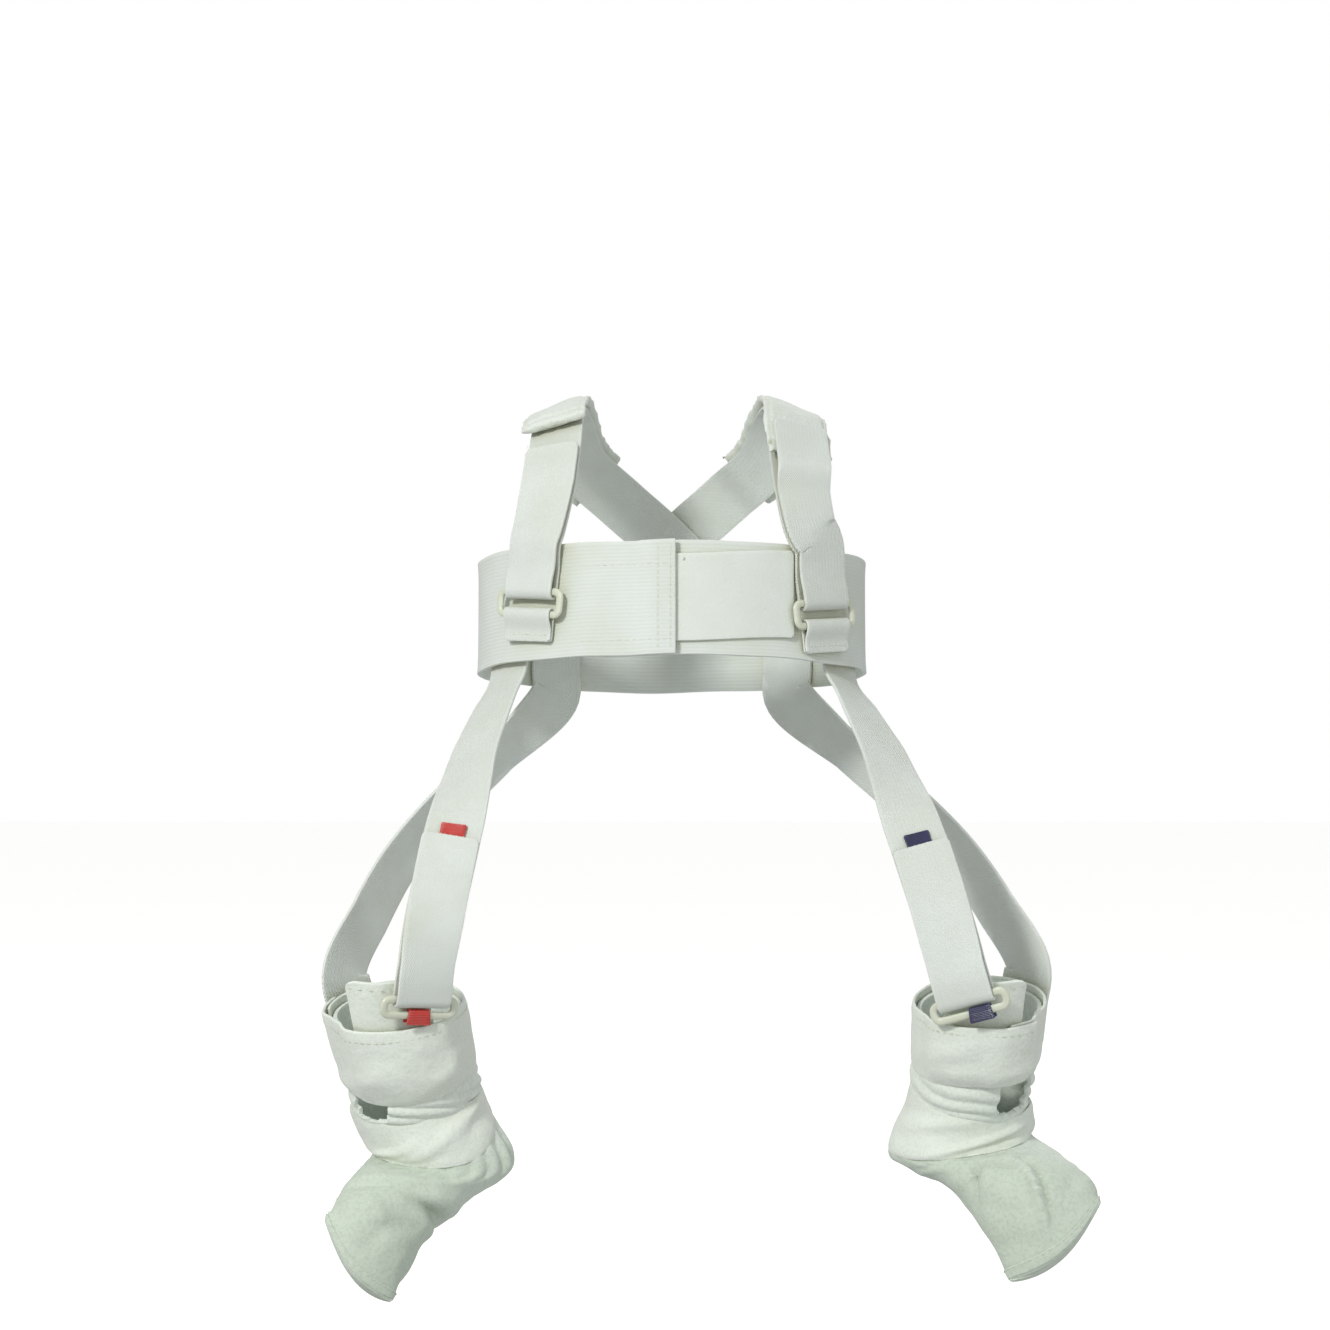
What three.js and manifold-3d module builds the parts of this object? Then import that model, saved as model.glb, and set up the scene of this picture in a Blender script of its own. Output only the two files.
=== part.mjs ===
// Infant hip harness in its worn form: chest band, shoulder straps, leg straps and two booties.
// Millimetres, +Z up, the front faces -Y, and the origin is the middle of the chest band's hollow.
// "right" and "left" are the wearer's, so the right side lies at -X.

import * as THREE from "three";
import { mergeVertices } from "three/addons/utils/BufferGeometryUtils.js";
import Module from "manifold-3d";

const wasm = await Module();
wasm.setup();

// Gap between pieces that lie on each other
const clearance = 0.35;

// Chest band, as an ellipse round a chest that leans back
const chestBreadth = 172;
const chestDepth = 124;
const chestRecline = 8; // degrees
const bandHeight = 51;
const bandThickness = 2;
const underEndLength = 32; // hidden end below the seam
const seamAngle = 1; // degrees, where the outer end stops

// Closure tab, hook tape sewn under the outer end
const tabLength = 54.5;
const tabHeight = 39;
const tabThickness = 1.4;
const tabSewn = 9;
const tabRise = 3;

// Webbing of all straps
const webbingWidth = 25;
const webbingThickness = 1.5;

// Shoulder straps and pads
const shoulderHeight = 91;
const padWidth = 34;
const padThickness = 5;
const padBackLength = 62; // from the top of the shoulder down the back

// Rings, and what holds them
const ringLength = 36;
const ringHeight = 13.6;
const legRingHeight = 10.2;
const ringCorner = 4.5;
const ringBarWidth = 3.4;
const ringBarThickness = 2.3;
const keeperLength = 12;
const keeperThickness = 1;
const markerWidth = 11.5;
const markerThickness = 0.8;
const markerPatchLength = 12;
const markerShows = 6.5;
const markerLoopLength = 4.5;

// Booties
const calfWidth = 54;
const bootieHeight = 124;
const bootieWall = 1.8;
const toeRound = 8; // how far the toe edge bows out
const wrapThickness = 2;
const shinTabThickness = 1.8;
const shinTabRise = 20;
const tabStandOff = 4.6; // of the leg strap from the tab, 14 mm above the ring

// Leg straps
const kneeBulge = 28;
const thighBulge = 13;

// Derived sizes
const layerGap = markerThickness + 2 * clearance;
const restLift = clearance + webbingThickness / 2;
const ringLift = restLift + foldReach(webbingThickness);
const barSpan = ringHeight - ringBarWidth;
const legBarSpan = legRingHeight - ringBarWidth;
const halfBreadth = chestBreadth / 2;
const halfDepth = chestDepth / 2;
const bandLift = bandThickness + clearance;

// Each side of the wearer as it sits: where the straps cross the band (edgeTurn is how far the strap
// has turned inward at the band's top), where the booties hang, how soon the leg strap leans to the
// band, where the calf strap's two ends are (turns) and which bootie rows the ankle strap covers
const sides = [
  {
    name: "right",
    sign: -1,
    ringAcross: 59.5,
    ringUp: 5,
    edgeTurn: 2.2,
    strapOut: 0.5,
    strapReturn: 68,
    padFront: 78,
    crossesOver: false,
    calf: { out: 119.3, forward: 96, down: 167.3 },
    ringTurn: -27,
    ringShift: 0.8,
    markerShift: 1,
    legReturn: 71.5,
    kneeLean: 0.45,
    wrapDip: 0.4,
    calfOverlap: { start: -268, end: 118 },
    ankleTop: { middle: 2.8, outward: 0.15, ahead: 0.15 },
    ankleBottom: { middle: 3.62, outward: 0.37, ahead: 0.38 },
    seatAngle: 61,
  },
  {
    name: "left",
    sign: 1,
    ringAcross: 64,
    ringUp: 0.5,
    edgeTurn: 2.5,
    strapOut: 3,
    strapReturn: 84,
    padFront: 64,
    crossesOver: true,
    calf: { out: 132.9, forward: 96, down: 167.3 },
    ringTurn: -16,
    ringShift: 0.8,
    markerShift: 5,
    legReturn: 68.5,
    kneeLean: 0.62,
    wrapDip: 0,
    calfOverlap: { start: -340, end: 42 },
    ankleTop: { middle: 2.75, outward: 0.4, ahead: 0.2 },
    ankleBottom: { middle: 3.88, outward: 0.08, ahead: 0.36 },
    seatAngle: 65,
  },
];

// Bootie sections from the shin down to the toe. out, inn and mid are shares of calfWidth, outward of
// the calf's axis; outDown and innDown are shares of bootieHeight; fore and deep are the section's
// middle ahead of the calf and its half depth, as shares of calfWidth; tilt is how many degrees its
// front hangs below its back.
const bootieRows = {
  right: [
    { out: 0.58, outDown: -0.19, inn: -0.43, innDown: -0.19, fore: 0.1, deep: 0.52, tilt: 17 },
    { out: 0.515, outDown: 0.014, inn: -0.515, innDown: -0.018, fore: 0, deep: 0.51, tilt: 17 },
    { out: 0.385, outDown: 0.235, inn: -0.61, innDown: 0.226, fore: -0.16, deep: 0.48, tilt: 15 },
    { out: 0.33, outDown: 0.375, inn: -0.69, innDown: 0.35, fore: -0.26, deep: 0.45, tilt: 12 },
    { out: 0.2, outDown: 0.516, inn: -0.93, innDown: 0.57, fore: -0.27, deep: 0.43, tilt: 5 },
    { out: 0.285, outDown: 0.57, inn: -0.62, innDown: 0.675, fore: -0.1, deep: 0.42, tilt: -8 },
    { out: 0.385, outDown: 0.627, inn: -0.31, innDown: 0.775, fore: 0.16, deep: 0.39, tilt: -20 },
    { out: 0.46, outDown: 0.67, inn: -0.15, innDown: 0.87, fore: 0.38, deep: 0.3, tilt: -30 },
    { out: 0.515, outDown: 0.71, inn: -0.005, innDown: 0.995, fore: 0.55, deep: 0.075, tilt: -35 },
  ],
  left: [
    { out: 0.535, outDown: -0.19, inn: -0.49, innDown: -0.19, fore: 0.1, deep: 0.52, tilt: 17 },
    { out: 0.5, outDown: -0.024, inn: -0.5, innDown: -0.007, fore: 0, deep: 0.51, tilt: 17 },
    { out: 0.445, outDown: 0.2, inn: -0.51, innDown: 0.226, fore: -0.16, deep: 0.48, tilt: 15 },
    { out: 0.38, outDown: 0.339, inn: -0.557, innDown: 0.37, fore: -0.26, deep: 0.45, tilt: 12 },
    { out: 0.42, outDown: 0.456, inn: -0.715, innDown: 0.53, fore: -0.27, deep: 0.43, tilt: 5 },
    { out: 0.63, outDown: 0.524, inn: -0.47, innDown: 0.59, fore: -0.1, deep: 0.42, tilt: -8 },
    { out: 0.77, outDown: 0.579, inn: -0.21, innDown: 0.65, fore: 0.16, deep: 0.39, tilt: -20 },
    { out: 0.855, outDown: 0.613, inn: 0, innDown: 0.765, fore: 0.38, deep: 0.3, tilt: -30 },
    { out: 0.9, outDown: 0.65, inn: 0.19, innDown: 0.925, fore: 0.55, deep: 0.075, tilt: -35 },
  ],
};

// Shoulder strap above the band: across and back are shares of the chest's half breadth and half
// depth, up is a share of shoulderHeight. The last rows cross behind and end on the other side.
const shoulderRows = [
  { across: 0.665, back: -0.72, up: 0.44 },
  { across: 0.625, back: -0.62, up: 0.65 },
  { across: 0.6, back: -0.4, up: 0.84 },
  { across: 0.588, back: -0.15, up: 0.965 },
  { across: 0.575, back: 0.14, up: 1 },
  { across: 0.545, back: 0.42, up: 0.94 },
  { across: 0.48, back: 0.68, up: 0.78 },
  { across: 0.27, back: 0.95, up: 0.6 },
  { across: 0.03, back: 1.08, up: 0.4 },
];

// Leg straps between the band and the bootie: along is the share of the way, the rest are shares
// of the bulge by which the strap stands off the straight line.
const frontLegRows = [
  { along: 0.25, out: 0.13, fore: 0.35 },
  { along: 0.47, out: 0.12, fore: 0.95 },
  { along: 0.72, out: 0.08, fore: 0.72 },
];
const backLegRows = [
  { along: 0.2, out: 0.32, fore: 0 },
  { along: 0.42, out: 0.89, fore: 0.1 },
  { along: 0.6, out: 1, fore: 0.12 },
  { along: 0.8, out: 0.64, fore: 0 },
];

const degrees = Math.PI / 180;

// How far a fold's middle stands from the ring's bar, out of the ring's plane
function foldReach(thickness) {
  return ringBarThickness / 2 + clearance + thickness / 2;
}

const group = new THREE.Group();

function vector(x, y, z) {
  return new THREE.Vector3(x, y, z);
}

function blend(from, to, share) {
  return from + (to - from) * share;
}

// Rises smoothly from 0 at low to 1 at high.
function ease(low, high, value) {
  return THREE.MathUtils.smoothstep(value, low, high);
}

function shifted(point, direction, distance) {
  return point.clone().addScaledVector(direction, distance);
}

function addPiece(name, geometry, color, roughness) {
  const material = new THREE.MeshStandardMaterial({ color, roughness, metalness: 0 });
  const mesh = new THREE.Mesh(geometry, material);
  mesh.name = name;
  group.add(mesh);
}

const fabricColor = "#dbe2db";
const footColor = "#c9d2c6";
const ringColor = "#dedbc0";
const markerColors = { right: "#d0443c", left: "#4a4880" };

// A closed body from corner points and triangles, turned so that its faces point out.
function closedBody(points, triangles) {
  let volume = 0;
  for (const [a, b, c] of triangles) {
    volume += points[a].dot(points[b].clone().cross(points[c]));
  }
  const faces = volume < 0 ? triangles.map(([a, b, c]) => [a, c, b]) : triangles;
  const geometry = new THREE.BufferGeometry();
  const coordinates = points.flatMap((p) => [p.x, p.y, p.z]);
  geometry.setAttribute("position", new THREE.Float32BufferAttribute(coordinates, 3));
  geometry.setIndex(faces.flat());
  return geometry;
}

// A sheet with thickness, between an outer and an inner grid of points with the same layout.
function sheetBody(outer, inner) {
  const rows = outer.length;
  const columns = outer[0].length;
  const points = [...outer.flat(), ...inner.flat()];
  const half = rows * columns;
  const triangles = [];
  const at = (row, column) => row * columns + column;
  const quad = (a, b, c, d) => triangles.push([a, b, c], [a, c, d]);
  for (let row = 0; row < rows - 1; row++) {
    for (let column = 0; column < columns - 1; column++) {
      const [a, b] = [at(row, column), at(row, column + 1)];
      const [c, d] = [at(row + 1, column + 1), at(row + 1, column)];
      quad(a, b, c, d);
      quad(half + a, half + d, half + c, half + b);
    }
  }
  const wall = (a, b) => quad(b, a, half + a, half + b);
  for (let column = 0; column < columns - 1; column++) {
    wall(at(0, column), at(0, column + 1));
    wall(at(rows - 1, column + 1), at(rows - 1, column));
  }
  for (let row = 0; row < rows - 1; row++) {
    wall(at(row, columns - 1), at(row + 1, columns - 1));
    wall(at(row + 1, 0), at(row, 0));
  }
  return closedBody(points, triangles);
}

// A body swept through rings of equal length, with flat ends or joined to a loop.
function ringBody(rings, isLoop) {
  const count = rings[0].length;
  const points = rings.flat();
  const triangles = [];
  const spans = isLoop ? rings.length : rings.length - 1;
  for (let i = 0; i < spans; i++) {
    const next = (i + 1) % rings.length;
    for (let j = 0; j < count; j++) {
      const k = (j + 1) % count;
      const [a, b] = [i * count + j, i * count + k];
      const [c, d] = [next * count + k, next * count + j];
      triangles.push([a, b, c], [a, c, d]);
    }
  }
  if (!isLoop) {
    const last = (rings.length - 1) * count;
    for (let j = 1; j < count - 1; j++) {
      triangles.push([0, j + 1, j], [last, last + j, last + j + 1]);
    }
  }
  return closedBody(points, triangles);
}

function toManifold(geometry) {
  const bare = new THREE.BufferGeometry();
  bare.setAttribute("position", geometry.getAttribute("position"));
  bare.setIndex(geometry.getIndex());
  const merged = mergeVertices(bare, 1e-3);
  return new wasm.Manifold(
    new wasm.Mesh({
      numProp: 3,
      vertProperties: new Float32Array(merged.attributes.position.array),
      triVerts: new Uint32Array(merged.index.array),
    }),
  );
}

function fromManifold(solid) {
  const mesh = solid.getMesh();
  const geometry = new THREE.BufferGeometry();
  geometry.setAttribute("position", new THREE.BufferAttribute(mesh.vertProperties, 3));
  geometry.setIndex(new THREE.BufferAttribute(mesh.triVerts, 1));
  return geometry;
}

// Chest form: a point at an angle from the front towards +X, at a height along the leaning axis.
const reclineSin = Math.sin(chestRecline * degrees);
const reclineCos = Math.cos(chestRecline * degrees);

function chestPoint(angle, height, lift) {
  const sin = Math.sin(angle * degrees);
  const cos = Math.cos(angle * degrees);
  const flatNormal = vector(sin / halfBreadth, -cos / halfDepth, 0).normalize();
  const x = halfBreadth * sin + flatNormal.x * lift;
  const y = -halfDepth * cos + flatNormal.y * lift;
  return vector(x, y * reclineCos + height * reclineSin, height * reclineCos - y * reclineSin);
}

function chestNormal(angle) {
  return chestPoint(angle, 0, 1).sub(chestPoint(angle, 0, 0));
}

// How far the middle of a strap stands above its edges when it follows the chest at this angle.
function chestCrown(angle) {
  const across = halfBreadth * Math.cos(angle * degrees);
  const along = halfDepth * Math.sin(angle * degrees);
  const radius = (across ** 2 + along ** 2) ** 1.5 / (halfBreadth * halfDepth);
  return webbingWidth ** 2 / (8 * radius);
}

// A route over the body: points with the direction that faces away from the body at each.
function makeRun(stations) {
  const curve = new THREE.CatmullRomCurve3(stations.map((s) => s.point), false, "centripetal");
  const facing = new THREE.CatmullRomCurve3(stations.map((s) => s.normal), false, "centripetal");
  curve.arcLengthDivisions = 400;
  const length = curve.getLength();
  const at = (distance) => {
    const share = THREE.MathUtils.clamp(distance / length, 0, 1);
    const tangent = curve.getTangentAt(share);
    const hint = blendFacing(stations, facing, curve.getUtoTmapping(share));
    const across = tangent.clone().cross(hint).normalize();
    const normal = across.clone().cross(tangent).normalize();
    return { point: curve.getPointAt(share), tangent, across, normal };
  };
  return { length, at };
}

function blendFacing(stations, facing, share) {
  const place = share * (stations.length - 1);
  const index = Math.min(Math.floor(place), stations.length - 2);
  return stations[index].normal.clone().lerp(stations[index + 1].normal, place - index).normalize();
}

// One station of a strap: its middle, the directions across and through it, and how far its edges
// drop towards the body.
function strapFrame(place, lift, side, crown) {
  return {
    point: shifted(place.point, place.normal, lift),
    across: place.across,
    through: place.normal.clone().multiplyScalar(side),
    droop: place.normal.clone().multiplyScalar(-crown),
  };
}

function strapBody(frames, width, thickness) {
  const rings = frames.map((f) => {
    const middle = (through) => shifted(f.point, f.through, through);
    const edge = (side, through) => shifted(middle(through), f.across, side * width / 2).add(f.droop);
    const half = thickness / 2;
    return [edge(-1, -half), middle(-half), edge(1, -half), edge(1, half), middle(half), edge(-1, half)];
  });
  return ringBody(rings, false);
}

function steps(from, to, spacing) {
  const count = Math.max(1, Math.ceil(Math.abs(to - from) / spacing));
  return Array.from({ length: count + 1 }, (_, i) => blend(from, to, i / count));
}

// A strap that comes down its run to a ring's bar, folds round it and goes back up outside.
function foldedFrames(strap) {
  const { run, innerLength, returnLength, barLift, radius, innerLift, outerLift, crown, spacing } = strap;
  const start = run.at(0);
  const frames = [];
  for (const distance of steps(innerLength, 0, spacing)) {
    frames.push(strapFrame(run.at(distance), innerLift(distance), -1, crown(distance)));
  }
  const bar = shifted(start.point, start.normal, barLift);
  for (const turn of [-60, -30, 0, 30, 60]) {
    const outward = start.normal
      .clone()
      .multiplyScalar(Math.sin(turn * degrees))
      .addScaledVector(start.tangent, -Math.cos(turn * degrees));
    const below = start.tangent.clone().multiplyScalar(-Math.cos(turn * degrees));
    const extra = (ringBarWidth - ringBarThickness) / 2;
    const point = shifted(bar, outward, radius).addScaledVector(below, extra);
    frames.push({ point, across: start.across, through: outward, droop: vector(0, 0, 0) });
  }
  for (const distance of steps(0, returnLength, spacing)) {
    frames.push(strapFrame(run.at(distance), outerLift(distance), 1, crown(distance)));
  }
  return frames;
}

// A flat ring with round corners that lies on its place: four corners joined by straight bars.
function flatRing(height, center, across, along, normal) {
  const bend = ringCorner - ringBarWidth / 2;
  const rings = [];
  for (const [cornerIndex, [acrossSign, alongSign]] of [[1, 1], [-1, 1], [-1, -1], [1, -1]].entries()) {
    const corner = shifted(center, across, acrossSign * (ringLength / 2 - ringCorner)).addScaledVector(
      along,
      alongSign * (height / 2 - ringCorner),
    );
    for (const turn of steps(90 * cornerIndex, 90 * cornerIndex + 90, 30)) {
      const outward = across
        .clone()
        .multiplyScalar(Math.cos(turn * degrees))
        .addScaledVector(along, Math.sin(turn * degrees));
      const middle = shifted(corner, outward, bend);
      const section = steps(0, 315, 45).map((roll) =>
        shifted(middle, outward, (ringBarWidth / 2) * Math.cos(roll * degrees)).addScaledVector(
          normal,
          (ringBarThickness / 2) * Math.sin(roll * degrees),
        ),
      );
      rings.push(section);
    }
  }
  return ringBody(rings, true);
}

// Chest band

const tabTop = tabThickness + clearance;
const underEndAngle = -underEndLength / halfBreadth / degrees;
const tabStartAngle = seamAngle - tabSewn / halfBreadth / degrees;

function bandLiftAt(angle) {
  const overUnderEnd = bandLift * ease(360 + underEndAngle - 16, 360 + underEndAngle - 3, angle);
  const overTab = tabTop * ease(360 + tabStartAngle - 6, 360 + tabStartAngle - 1, angle);
  return overUnderEnd + overTab;
}

function bandBody() {
  const angles = steps(underEndAngle, 360 + seamAngle, 5);
  const heights = [-bandHeight / 2, 0, bandHeight / 2];
  const layer = (lift) => angles.map((a) => heights.map((h) => chestPoint(a, h, bandLiftAt(a) + lift)));
  return sheetBody(layer(bandThickness), layer(0));
}

function closureTabBody() {
  const endAngle = seamAngle + tabLength / halfBreadth / degrees;
  const angles = steps(tabStartAngle, endAngle, 4);
  const rise = (angle) => tabRise * ease(seamAngle, endAngle, angle);
  const layer = (lift) =>
    angles.map((a) =>
      [-1, 0, 1].map((side) => chestPoint(a, side * tabHeight / 2 + rise(a), bandLift + lift)),
    );
  return sheetBody(layer(tabThickness), layer(0));
}

addPiece("chest_band", bandBody(), fabricColor, 0.9);
addPiece("closure_tab", closureTabBody(), fabricColor, 0.7);

// Straps, rings and booties of one side

// A point on the bootie's outer surface: row runs from the shin (0) to the toe (8), and turn is the
// angle from the front towards the outer side.
function makeBootie(side) {
  const rows = bootieRows[side.name];
  const { out, forward, down } = side.calf;
  const place = (outward, drop, fore) =>
    vector(
      side.sign * (out + outward * calfWidth),
      -(forward + fore * calfWidth),
      -(down + drop * bootieHeight),
    );
  const through = (points) => new THREE.CatmullRomCurve3(points, false, "catmullrom");
  const outer = through(rows.map((r) => place(r.out, r.outDown, r.fore)));
  const inner = through(rows.map((r) => place(r.inn, r.innDown, r.fore)));
  const depths = through(rows.map((r) => vector(r.deep * calfWidth, r.tilt, 0)));
  const last = rows.length - 1;
  const middleAt = (share) => outer.getPoint(share).add(inner.getPoint(share)).multiplyScalar(0.5);

  function surface(row, turn) {
    const share = THREE.MathUtils.clamp(row / last, 0, 1);
    const wide = outer.getPoint(share).sub(inner.getPoint(share)).multiplyScalar(0.5);
    const { x: depth, y: tilt } = depths.getPoint(share);
    const deep = vector(0, -depth * Math.cos(tilt * degrees), -depth * Math.sin(tilt * degrees));
    const toe = toeRound * ease(last - 1, last, row) * Math.cos(turn * degrees) ** 2;
    const ahead = middleAt(1).sub(middleAt(1 - 1 / last)).normalize();
    return middleAt(share)
      .addScaledVector(ahead, toe)
      .addScaledVector(wide, Math.sin(turn * degrees))
      .addScaledVector(deep, Math.cos(turn * degrees));
  }

  function normal(row, turn) {
    const down1 = surface(row + 0.04, turn).sub(surface(row - 0.04, turn));
    const round = surface(row, turn + 1).sub(surface(row, turn - 1));
    return down1.cross(round).normalize().multiplyScalar(side.sign);
  }

  const point = (row, turn, lift) => shifted(surface(row, turn), normal(row, turn), lift);
  return { point, normal, last };
}

const mouthRow = 1.12;
const calfStrapRows = { top: 1, bottom: 2 };
const slit = { from: 22, to: 62, top: 0.9, bottom: 3 };
const turnStep = 18;

function bootieShellBody(bootie) {
  const turns = steps(0, 360 - turnStep, turnStep);
  const upper = steps(mouthRow, 2.5, 0.46);
  const heel = steps(2.85, 4.95, 0.3);
  const rows = [...upper, ...heel, ...steps(5.4, bootie.last, 0.52)];
  const outer = rows.map((row) => turns.map((turn) => bootie.point(row, turn, 0)));
  const inner = rows.map((row) => turns.map((turn) => bootie.point(row, turn, -bootieWall)));
  const count = turns.length;
  const points = [...outer.flat(), ...inner.flat()];
  const half = outer.length * count;
  const triangles = [];
  const quad = (a, b, c, d) => triangles.push([a, b, c], [a, c, d]);
  for (let j = 0; j < count; j++) {
    const k = (j + 1) % count;
    for (let i = 0; i < outer.length - 1; i++) {
      const [a, b] = [i * count + j, i * count + k];
      quad(a, b, b + count, a + count);
      quad(half + a, half + a + count, half + b + count, half + b);
    }
    quad(k, j, half + j, half + k);
  }
  const toe = (outer.length - 1) * count;
  const toeMiddle = outer.at(-1).reduce((sum, p) => sum.add(p), vector(0, 0, 0)).divideScalar(count);
  const innerMiddle = inner.at(-1).reduce((sum, p) => sum.add(p), vector(0, 0, 0)).divideScalar(count);
  const pull = innerMiddle.clone().sub(inner.at(-2)[0]).normalize();
  points.push(toeMiddle.addScaledVector(pull, bootieWall), innerMiddle);
  for (let j = 0; j < count; j++) {
    const k = (j + 1) % count;
    triangles.push([toe + j, toe + k, points.length - 2]);
    triangles.push([half + toe + k, half + toe + j, points.length - 1]);
  }
  const shell = toManifold(closedBody(points, triangles));
  const cutRows = steps(slit.top, slit.bottom, 0.25);
  const cutTurns = steps(slit.from, slit.to, 10);
  const cutLayer = (lift) => cutRows.map((row) => cutTurns.map((turn) => bootie.point(row, turn, lift)));
  return fromManifold(shell.subtract(toManifold(sheetBody(cutLayer(4), cutLayer(-6)))));
}

// Where the tab, its marker's tail and the calf strap lie above the shell
const shinTab = { from: -36, to: 34, bottom: 1.7 };
const shinLift = clearance;
const tailLift = shinLift + shinTabThickness + clearance;
const overTabLift = tailLift + markerThickness + clearance;

function calfStrapLift(wrapTurn) {
  const turn = wrapTurn < -180 ? wrapTurn + 360 : wrapTurn;
  const risen = ease(shinTab.from - 26, shinTab.from - 3, turn);
  const fallen = ease(shinTab.to + 3, shinTab.to + 22, turn);
  return blend(clearance, overTabLift, risen * (1 - fallen));
}

const ankleSlack = 0.5;
const ankleOverlap = { start: -262, end: 124 };

// A wrap that goes once round the bootie and laps over its own start.
function wrapBody(bootie, overlap, rowsAt, liftAt) {
  const first = Math.ceil(overlap.start / turnStep) * turnStep;
  const lastTurn = Math.floor(overlap.end / turnStep) * turnStep;
  const inBetween = steps(first, lastTurn, turnStep);
  const turns = [...new Set([overlap.start, ...inBetween, overlap.end])];
  const startTurn = overlap.start + 360;
  const lap = (turn) => (wrapThickness + clearance) * ease(startTurn - 24, startTurn - 4, turn);
  const layer = (lift) =>
    turns.map((turn) => {
      const { top, bottom } = rowsAt(turn);
      return [0, 1 / 3, 2 / 3, 1].map((share) =>
        bootie.point(blend(top, bottom, share), turn, liftAt(turn) + lap(turn) + lift),
      );
    });
  return sheetBody(layer(wrapThickness), layer(0));
}

function calfStrapBody(bootie, side) {
  const dip = (turn) => side.wrapDip * Math.max(0, Math.cos((turn - 30) * degrees));
  const rowsAt = (turn) => ({ top: calfStrapRows.top, bottom: calfStrapRows.bottom + dip(turn) });
  return wrapBody(bootie, side.calfOverlap, rowsAt, calfStrapLift);
}

function ankleStrapBody(bootie, side) {
  const rowAt = (edge, turn) =>
    edge.middle + edge.outward * Math.sin(turn * degrees) + edge.ahead * Math.cos(turn * degrees);
  const rowsAt = (turn) => ({ top: rowAt(side.ankleTop, turn), bottom: rowAt(side.ankleBottom, turn) });
  return wrapBody(bootie, ankleOverlap, rowsAt, () => clearance + ankleSlack);
}

function shinTabBody(bootie) {
  const topRow = calfStrapRows.top - shinTabRise / (bootieHeight * 0.19);
  const rows = steps(Math.max(0.02, topRow), shinTab.bottom, 0.25);
  const turns = steps(shinTab.from, shinTab.to, turnStep);
  const layer = (lift) => rows.map((row) => turns.map((turn) => bootie.point(row, turn, lift)));
  return sheetBody(layer(shinLift + shinTabThickness), layer(shinLift));
}

function shoulderRun(side) {
  const ringAngle = Math.asin(side.ringAcross / halfBreadth) / degrees;
  const onChest = (angle, height, extra = 0) => ({
    point: chestPoint(side.sign * angle, height, bandThickness + extra),
    normal: chestNormal(side.sign * angle),
  });
  const faceOut = (p) => {
    const turnedAhead = blend(0.95, 0.45, ease(bandHeight / 2, shoulderHeight * 0.72, p.z));
    const sideways = Math.min(0.8, turnedAhead + 0.35 * ease(-halfDepth / 2, 0, p.y));
    return vector(
      (sideways * p.x) / halfBreadth ** 2,
      p.y / halfDepth ** 2,
      p.z ** 3 / (0.92 * shoulderHeight) ** 4,
    ).normalize();
  };
  const stations = [
    onChest(ringAngle, side.ringUp),
    onChest(ringAngle - 0.35 * side.edgeTurn, side.ringUp + 9),
    onChest(ringAngle - side.edgeTurn, bandHeight / 2 + 1, 2.2),
  ];
  for (const row of shoulderRows) {
    const strapOut = side.strapOut * (1 - ease(0.2, 0.7, row.back));
    const point = vector(
      side.sign * (row.across * halfBreadth + strapOut),
      row.back * halfDepth,
      row.up * shoulderHeight,
    );
    stations.push({ point, normal: faceOut(point) });
  }
  stations.push(onChest(-168, bandHeight / 2 - 3, 0.8), onChest(-159, -bandHeight / 5, 0.2));
  return makeRun(stations);
}

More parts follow.
